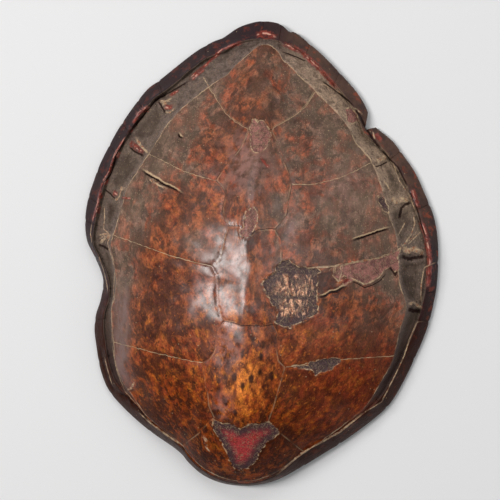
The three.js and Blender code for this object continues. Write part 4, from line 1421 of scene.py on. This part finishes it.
    def rings(self, s: Section, rim: Array) -> tuple[Array, Array, Array]:
        """Radii of every ring, outside first and then the hollow, with heights where they are set.

        Args:
            s: The rays' sections.
            rim: The broken outline's radii.

        Returns:
            Radii, set heights (NaN where a surface gives the height), and 1 where that is the hollow's.
        """
        unset = np.full(s.rim.shape, np.nan)
        ridge = np.minimum(s.ridge, rim - self.ridge_margin)
        tight = np.clip((ridge - s.seam - self.tight_below) / self.tight_span, self.tightest, 1.0)
        first = s.seam + self.seam_outside * tight
        last = ridge - self.crest_inside * tight
        wall_foot = np.minimum(s.ridge, rim - self.foot_inset)
        hollow_edge = np.minimum(s.seam, wall_foot - self.hollow_inset)
        free = [(s.seam - self.seam_inside) * f for f in np.linspace(0.0, 1.0, self.dome_rings + 1)[1:]]
        free += [s.seam]
        free += [first + (last - first) * f for f in np.linspace(0.0, 1.0, self.gutter_rings)]
        free += [ridge + shift * tight for shift in self.crest_rings]
        free += [ridge + shift for shift in self.outer_rings]
        shares = np.linspace(0.0, 1.0, self.band_rings + 1)[1:]
        free += [ridge + self.outer_rings[-1] + (rim - self.shoulder - ridge) * f**0.8 for f in shares]
        rows = [(radii, unset, 0.0) for radii in free]
        rows += [(rim - inset, s.edge_height - drop, 0.0) for inset, drop in self.upper_face]
        rows += [(rim - inset, s.lift + rise, 0.0) for inset, rise in self.lower_face]
        rows += [(rim - inset, s.lift + rise, 1.0) for inset, rise in self.inner_face]
        hollow = [wall_foot, (wall_foot + hollow_edge) / 2]
        hollow += [hollow_edge * f for f in np.linspace(1.0, 0.0, self.hollow_rings + 1)[:-1]]
        rows += [(radii, unset, 1.0) for radii in hollow]
        radii, heights, inside = zip(*rows)
        return np.array(radii), np.array(heights), np.array(inside)

    def relief(self, grid: PlanGrid, fields: Fields) -> Array:
        """Everything small that stands on or is sunk into the outside.

        Each term is a bell or smooth step of a distance: rounded scute edges, seam grooves, ledges of
        lost horn with curled lips, open cracks, rib ends over the gutter, the crest and its cleft.

        Args:
            grid: The surface's points in plan.
            fields: The distance fields by name.

        Returns:
            Heights to add.
        """
        s, x, y, to_seam, to_ridge = grid.s, grid.x, grid.y, grid.to_seam, grid.to_ridge
        on_dome = ease(-1.0, 1.0, to_seam)
        row = np.where(fields["middle"] > 0, np.abs(fields["middle_row"]), np.abs(fields["side_row"]))
        line = np.minimum(np.abs(fields["middle"]), row)
        broad = self.broad_swell * grid.swell(length=105, seed=3)
        swell = broad + self.fine_swell * grid.swell(length=42, seed=5)
        high = swell * ease(0.0, 30.0, to_seam) - self.horn_drop * on_dome
        high -= (self.scute_rounding * np.exp(-line / 7.0) + self.seam_groove * hump(line, 1.8)) * on_dome
        for knob_y, rise in self.knobs:
            bump = rise * hump(x - self.knob_x, 17) * hump(y - knob_y, 34)
            dip = 0.6 * rise * hump(x - self.knob_x, 30) * hump(y - knob_y + 62, 30)
            high += bump - dip
        high += 1.0 * hump(to_seam - 2.0, 3.0) - 1.0 * hump(to_seam, 1.6)
        lost = fields["lost"]
        high += (self.lost_lip * hump(lost + 2.0, 2.2) - self.lost_drop * ease(-1.2, 1.4, lost)) * on_dome
        gap = np.abs(fields["crack"])
        lip = self.crack_lip * hump(gap - 3.8, 2.2)
        high += fields["crack_open"] * (lip - self.crack_depth * hump(gap, 1.8))
        lumps = self.gutter_lumps * grid.swell(length=22, seed=53)
        high += lumps * ease(0.0, 8.0, -to_seam) * ease(0.0, 8.0, to_ridge)
        ragged = 1.0 + 0.35 * grid.swell(length=13, seed=52)
        high += fields["mark_rise"] * ragged - self.pit_drop * ease(-2.0, 9.0, fields["pit"])
        high += self._crest(s, to_ridge)
        share = np.clip(-to_ridge / (s.rim - s.ridge), 0.0, 1.0)
        rim_line = np.abs(fields["rim_row"])
        groove = self.rim_groove * hump(rim_line, 2.2) + self.rim_rounding * np.exp(-rim_line / 9.0)
        high -= groove * ease(-2.0, 6.0, -to_seam) * (1 - share**3)
        return high

    def _crest(self, s: Section, to_ridge: Array) -> Array:
        """The rolled crest along the ridge, with the narrow cleft and the soft dip inside it."""
        uneven = 1 + 0.3 * waves(s.degrees * 6.5, 0 * s.degrees, 34, 11)
        outer = hump(to_ridge, 1.5 * around(self.crest_width, s.degrees))
        bell = np.where(to_ridge > 0, hump(to_ridge, 2.4), outer)
        cleft = hump(to_ridge - 3.4, 2.0) * ease(0.2, 1.2, to_ridge)
        crest = around(self.lip_rise, s.degrees) * uneven * bell - around(self.cleft_depth, s.degrees) * cleft
        return crest - 1.4 * hump(to_ridge - 8.0, 5.0) * (to_ridge > 0)

    def under_relief(self, x: Array, y: Array) -> Array:
        """How far the ribs and the backbone stand down into the hollow.

        Each rib is a flat-topped bell across a straight line from the backbone to its outer end.

        Args:
            x: Plan positions across.
            y: Plan positions along.

        Returns:
            Depths to take from the hollow's height, from 0 to the backbone's 14.
        """
        total = np.zeros(x.shape)
        for spine_y, spread, end_y in self.ribs:
            for side in (-1, 1):
                line = ((side * self.rib_foot, spine_y), (side * spread, end_y))
                gap, _, along = path_distance(x, y, line)
                shaft = ease(15.0, 7.0, gap) * (self.rib_depth + 2.0 * np.exp(-along / 35.0))
                total = np.maximum(total, shaft)
        spine = ease(21.0, 8.0, np.abs(x)) * ease(-345, -318, y) * ease(245, 215, y)
        beads = 1.0 + 0.12 * np.cos(y * 2 * math.pi / self.bead_length)
        return np.maximum(total, self.backbone_depth * spine * beads)

    def _fields(self, grid: PlanGrid, marks: Marked) -> Fields:
        """Every distance field over the plan, by name."""
        x, y, plates = grid.x, grid.y, self.plates
        degrees = np.broadcast_to(grid.s.degrees, x.shape)
        crack, crack_open = plates.crack_line(x, y)
        lost, kind = plates.lost_depth(x, y)
        return {
            "middle": plates.vertebral_depth(x, y),
            "middle_row": plates.row_depth(x, y, plates.vertebral_rows),
            "side_row": plates.costal_depth(x, y),
            "rim_row": plates.rim_depth(degrees, grid.radius),
            "crack": crack,
            "crack_open": crack_open,
            "lost": lost + 0.8 * grid.swell(length=14, seed=21),
            "lost_kind": kind,
            "pit": plates.deepest(x, y, plates.pits),
            "stain": plates.deepest(x, y, plates.stains),
            "mark_rise": sum(rise for _, _, rise in marks.values()),
            "rib_rise": self.under_relief(x, y),
        }

    def build(self) -> bpy.types.Object:
        """Computes the grid and makes the mesh with its attributes.

        Returns:
            The new object, without materials.
        """
        s = self.form.section(self.rays_at())
        radius, fixed, inside = self.rings(s, self.broken_rim(s))
        turn = np.radians(s.degrees)
        x = self.form.centre[0] + radius * np.cos(turn)
        y = self.form.centre[1] + radius * np.sin(turn)
        grid = PlanGrid(s, x, y, radius)
        marks = {wear: self.plates.mark_field(x, y, wear) for wear in Wear}
        fields = self._fields(grid, marks)
        top = self.form.height(s, radius) + self.form.keel(x, y) + self.relief(grid, fields)
        thicker = self.gutter_wall * ease(-18.0, -4.0, radius - s.seam)
        below = self.form.inner_height(x, y) - fields["rib_rise"] - thicker
        z = np.where(inside[:, None] > 0, np.maximum(below, s.lift + self.rim_wall), top)
        z = np.minimum(np.where(np.isnan(fixed), z, fixed), self.crown_limit)

        poles = [[*self.form.centre, z[0].mean()], [*self.form.centre, z[-1].mean()]]
        points = np.vstack([np.stack([x, y, z], axis=-1).reshape(-1, 3), *poles]) * MM
        mesh = bpy.data.meshes.new("carapace_shell")
        mesh.from_pydata(points.tolist(), [], self._faces(*x.shape))
        mesh.update()
        self._attributes(mesh, grid, fields, marks)
        self._face_finish(mesh, inside, self.rays)
        mesh.shade_smooth()
        shell = bpy.data.objects.new("carapace_shell", mesh)
        bpy.context.scene.collection.objects.link(shell)
        return shell

    @staticmethod
    def _faces(rings: int, rays: int) -> list[tuple[int, ...]]:
        """Quads between neighbouring rings and a fan over each pole, all facing out."""
        i = np.arange(rings - 1)[:, None] * rays
        j = np.arange(rays)[None, :]
        k = (j + 1) % rays
        quads = np.stack([i + j, i + rays + j, i + rays + k, i + k], axis=-1).reshape(-1, 4)
        crown, under = rings * rays, rings * rays + 1
        ray = np.arange(rays)
        after = (ray + 1) % rays
        last = (rings - 1) * rays
        top_fan = np.stack([np.full(rays, crown), ray, after], axis=-1)
        under_fan = np.stack([np.full(rays, under), last + after, last + ray], axis=-1)
        return [tuple(face) for part in (quads, top_fan, under_fan) for face in part.tolist()]

    def _attributes(self, mesh: bpy.types.Mesh, grid: PlanGrid, fields: Fields, marks: Marked) -> None:
        """Stores the distances, the wear and the painted light that the finishes read, one value for each
        vertex.
        """
        vectors = {
            "plate_lines": (fields["middle"], fields["middle_row"], fields["side_row"]),
            # The third number of rim_edges is the share of painted highlight.
            "rim_edges": (grid.to_seam, grid.to_ridge, grid.ovals(self.painted_highlight_ovals)),
            "marks": (fields["rim_row"], fields["crack"], fields["crack_open"]),
            "wear": (self.dust_at(grid), self.warmth_at(grid), fields["lost"]),
            "cream_and_highlight_marks": (*marks[Wear.CREAM][:2], grid.ovals(self.blotches)),
            "cleft_and_shadow_marks": (*marks[Wear.CLEFT][:2], fields["pit"]),
            "red_marks": (*marks[Wear.REDDENED][:2], fields["stain"]),
            # The second number of the zones is the share of painted sheen.
            "zones": self.zones_at(grid),
        }
        for name, parts in vectors.items():
            values = np.stack([np.broadcast_to(p, grid.x.shape) for p in parts], axis=-1).reshape(-1, 3)
            values = np.vstack([values, values[:1], values[-1:]])
            layer = mesh.attributes.new(name, "FLOAT_VECTOR", "POINT")
            layer.data.foreach_set("vector", values.astype(np.float32).ravel())
        numbers = {"lost_kind": fields["lost_kind"], "rib_rise": np.clip(fields["rib_rise"] / 6.0, 0, 1)}
        for name, value in numbers.items():
            flat = np.concatenate([value.ravel(), value.ravel()[:1], value.ravel()[-1:]])
            layer = mesh.attributes.new(name, "FLOAT", "POINT")
            layer.data.foreach_set("value", flat.astype(np.float32))

    @staticmethod
    def _face_finish(mesh: bpy.types.Mesh, inside: Array, rays: int) -> None:
        """Gives faces of the hollow the second material."""
        band = np.repeat((inside[:-1] > 0).astype(np.int32), rays)
        index = np.concatenate([band, np.zeros(rays, np.int32), np.ones(rays, np.int32)])
        mesh.polygons.foreach_set("material_index", index)

    @staticmethod
    def dust_at(grid: PlanGrid) -> Array:
        """Dust from 0 to 1: thick over the tail half and the flanks, thin towards the neck."""
        x, y = grid.x, grid.y
        tail = ease(-150, 150, y + 0.3 * x)
        flank = ease(110, 10, grid.to_seam) * ease(-300, -60, y)
        clearer = hump((x + 35) / 105, 1.0) * ease(0, 110, y)
        flank = flank * (0.4 + 0.4 * ease(20, -40, x)) * (1.0 - 0.85 * clearer)
        uneven = 0.08 * grid.swell(length=120, seed=31)
        settled = np.clip(0.8 * tail - 0.42 * clearer + flank + uneven, 0.0, 1.0)
        outside = np.where(grid.to_ridge > 0, 0.65, 0.12 * ease(-200, 100, y))
        return settled * np.where(grid.to_seam > 0, 1.0, outside)

    @staticmethod
    def warmth_at(grid: PlanGrid) -> Array:
        """How amber the ground is, from 0 to 1: strongest on the scute before the neck one."""
        return np.clip(0.7 * grid.oval(6, -245, 34, 66) + 0.34 * grid.oval(0, -230, 150, 130), 0.0, 1.0)

    def zones_at(self, grid: PlanGrid) -> tuple[Array, ...]:
        """Three shares from 0 to 1: the deep-toned neck end, painted sheen on the left facet, and the gloss.
        """
        x, y = grid.x, grid.y
        inside = polygon_depth(x, y, self.painted_sheen_facet) + 5.0 * waves(x, y / 3, 40, 61)
        facet = ease(-10.0, 30.0, inside) * ease(-20, -120, y)
        return ease(-110, -300, y), facet, np.clip(1.08 * grid.oval(-15, -45, 170, 205), 0.0, 1.0)

    def dress(self, shell: bpy.types.Object, effects: SharedEffects) -> None:
        """Gives the shell its two finishes and sets it in the frame in place of the plain solid."""
        shell.data.materials.append(HornFinish().material(effects))
        shell.data.materials.append(BoneFinish().material(effects))
        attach(shell, "root")
        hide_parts("carapace")


# ---- Studio ----


@dataclass(frozen=True)
class SoftLight:
    """A rectangular soft light: where it hangs and its two sides in metres, its watts and its colour."""

    name: str
    place: tuple[float, float, float]
    sides: tuple[float, float]
    power: float
    tone: tuple[float, float, float] = ONES

    def hang(self, aim: tuple[float, float, float]) -> None:
        """Adds the light to the scene, facing a point."""
        data = bpy.data.lights.new(self.name, "AREA")
        data.shape, data.energy, data.color = "RECTANGLE", self.power, self.tone
        data.size, data.size_y = self.sides
        light = bpy.data.objects.new(self.name, data)
        light.location = self.place
        light.rotation_euler = (Vector(self.place) - Vector(aim)).to_track_quat("Z", "Y").to_euler()
        bpy.context.scene.collection.objects.link(light)


@dataclass
class Studio:
    """Pale floor, soft lights and the camera that looks down on the shell."""

    distance: float = 2.78
    lean: float = 7.0
    roll: float = 2.6
    target: tuple[float, float, float] = (-0.0116, 0.0055, 0.060)
    lens: float = 100.08
    sensor: float = 36.0
    clip: tuple[float, float] = (0.05, 60.0)
    floor_span: float = 40.0
    floor_tone: tuple = srgb(229, 230, 231)
    floor_roughness: float = 0.9
    floor_specular: float = 0.1
    surround_tone: tuple = srgb(236, 238, 240)
    surround_strength: float = 0.2
    light_aim: tuple[float, float, float] = (0.0, 0.0, 0.1)
    soft_lights: tuple[SoftLight, ...] = (
        SoftLight("key_panel", (-2.55, 0.5, 5.0), (0.9, 3.0), 198.0, (1.0, 0.965, 0.945)),
        SoftLight("tail_panel", (0.0, 3.0, 4.4), (4.4, 1.4), 72.0),
        SoftLight("right_panel", (3.4, 0.6, 4.2), (2.4, 3.6), 50.0),
    )

    def camera(self) -> None:
        """Places the camera: leaned off the vertical towards +X and rolled about its own axis."""
        lean, roll = math.radians(self.lean), math.radians(self.roll)
        back = Vector((math.sin(lean), 0.0, math.cos(lean)))
        right = Vector((0, 1, 0)).cross(back).normalized()
        up = back.cross(right)
        turned_right = math.cos(roll) * right + math.sin(roll) * up
        turned_up = -math.sin(roll) * right + math.cos(roll) * up
        data = bpy.data.cameras.new("studio_camera")
        data.lens, data.sensor_width = self.lens, self.sensor
        data.clip_start, data.clip_end = self.clip
        camera = bpy.data.objects.new("studio_camera", data)
        place = Matrix((turned_right, turned_up, back)).transposed().to_4x4()
        place.translation = Vector(self.target) + back * self.distance
        camera.matrix_world = place
        bpy.context.scene.collection.objects.link(camera)
        bpy.context.scene.camera = camera

    def floor(self) -> bpy.types.Object:
        """A pale matt floor at the level the shell rests on."""
        half = self.floor_span / 2
        mesh = bpy.data.meshes.new("studio_floor")
        corners = [(-half, -half, 0), (half, -half, 0), (half, half, 0), (-half, half, 0)]
        mesh.from_pydata(corners, [], [(0, 1, 2, 3)])
        material, g = new_material("studio_floor")
        shader = g.fill(g.add("ShaderNodeBsdfPrincipled"), Base_Color=self.floor_tone)
        g.fill(shader, Roughness=self.floor_roughness, Specular_IOR_Level=self.floor_specular)
        g.fill(g.add("ShaderNodeOutputMaterial"), Surface=g.wires(shader)[0])
        mesh.materials.append(material)
        floor = bpy.data.objects.new("studio_floor", mesh)
        bpy.context.scene.collection.objects.link(floor)
        return floor

    def lights(self) -> None:
        """A tall soft key from the left, a wide soft light beyond the tail and a dim surround."""
        for light in self.soft_lights:
            light.hang(self.light_aim)
        world = bpy.data.worlds.new("studio_surround")
        world.use_nodes = True
        surround = world.node_tree.nodes["Background"]
        surround.inputs["Color"].default_value = self.surround_tone
        surround.inputs["Strength"].default_value = self.surround_strength
        bpy.context.scene.world = world
        bpy.context.scene.view_settings.view_transform = "Standard"


def main() -> None:
    """Builds the studio, then the shell over its frame."""
    logging.basicConfig(level=logging.INFO, format="%(message)s")
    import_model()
    studio = Studio()
    studio.camera()
    studio.floor()
    studio.lights()
    log.info("studio: camera, floor and lights are set")
    effects = SharedEffects()
    carapace = Carapace()
    shell = carapace.build()
    carapace.dress(shell, effects)
    log.info("%s: %d vertices, %d faces", shell.name, len(shell.data.vertices), len(shell.data.polygons))


if __name__ == "__main__":
    main()
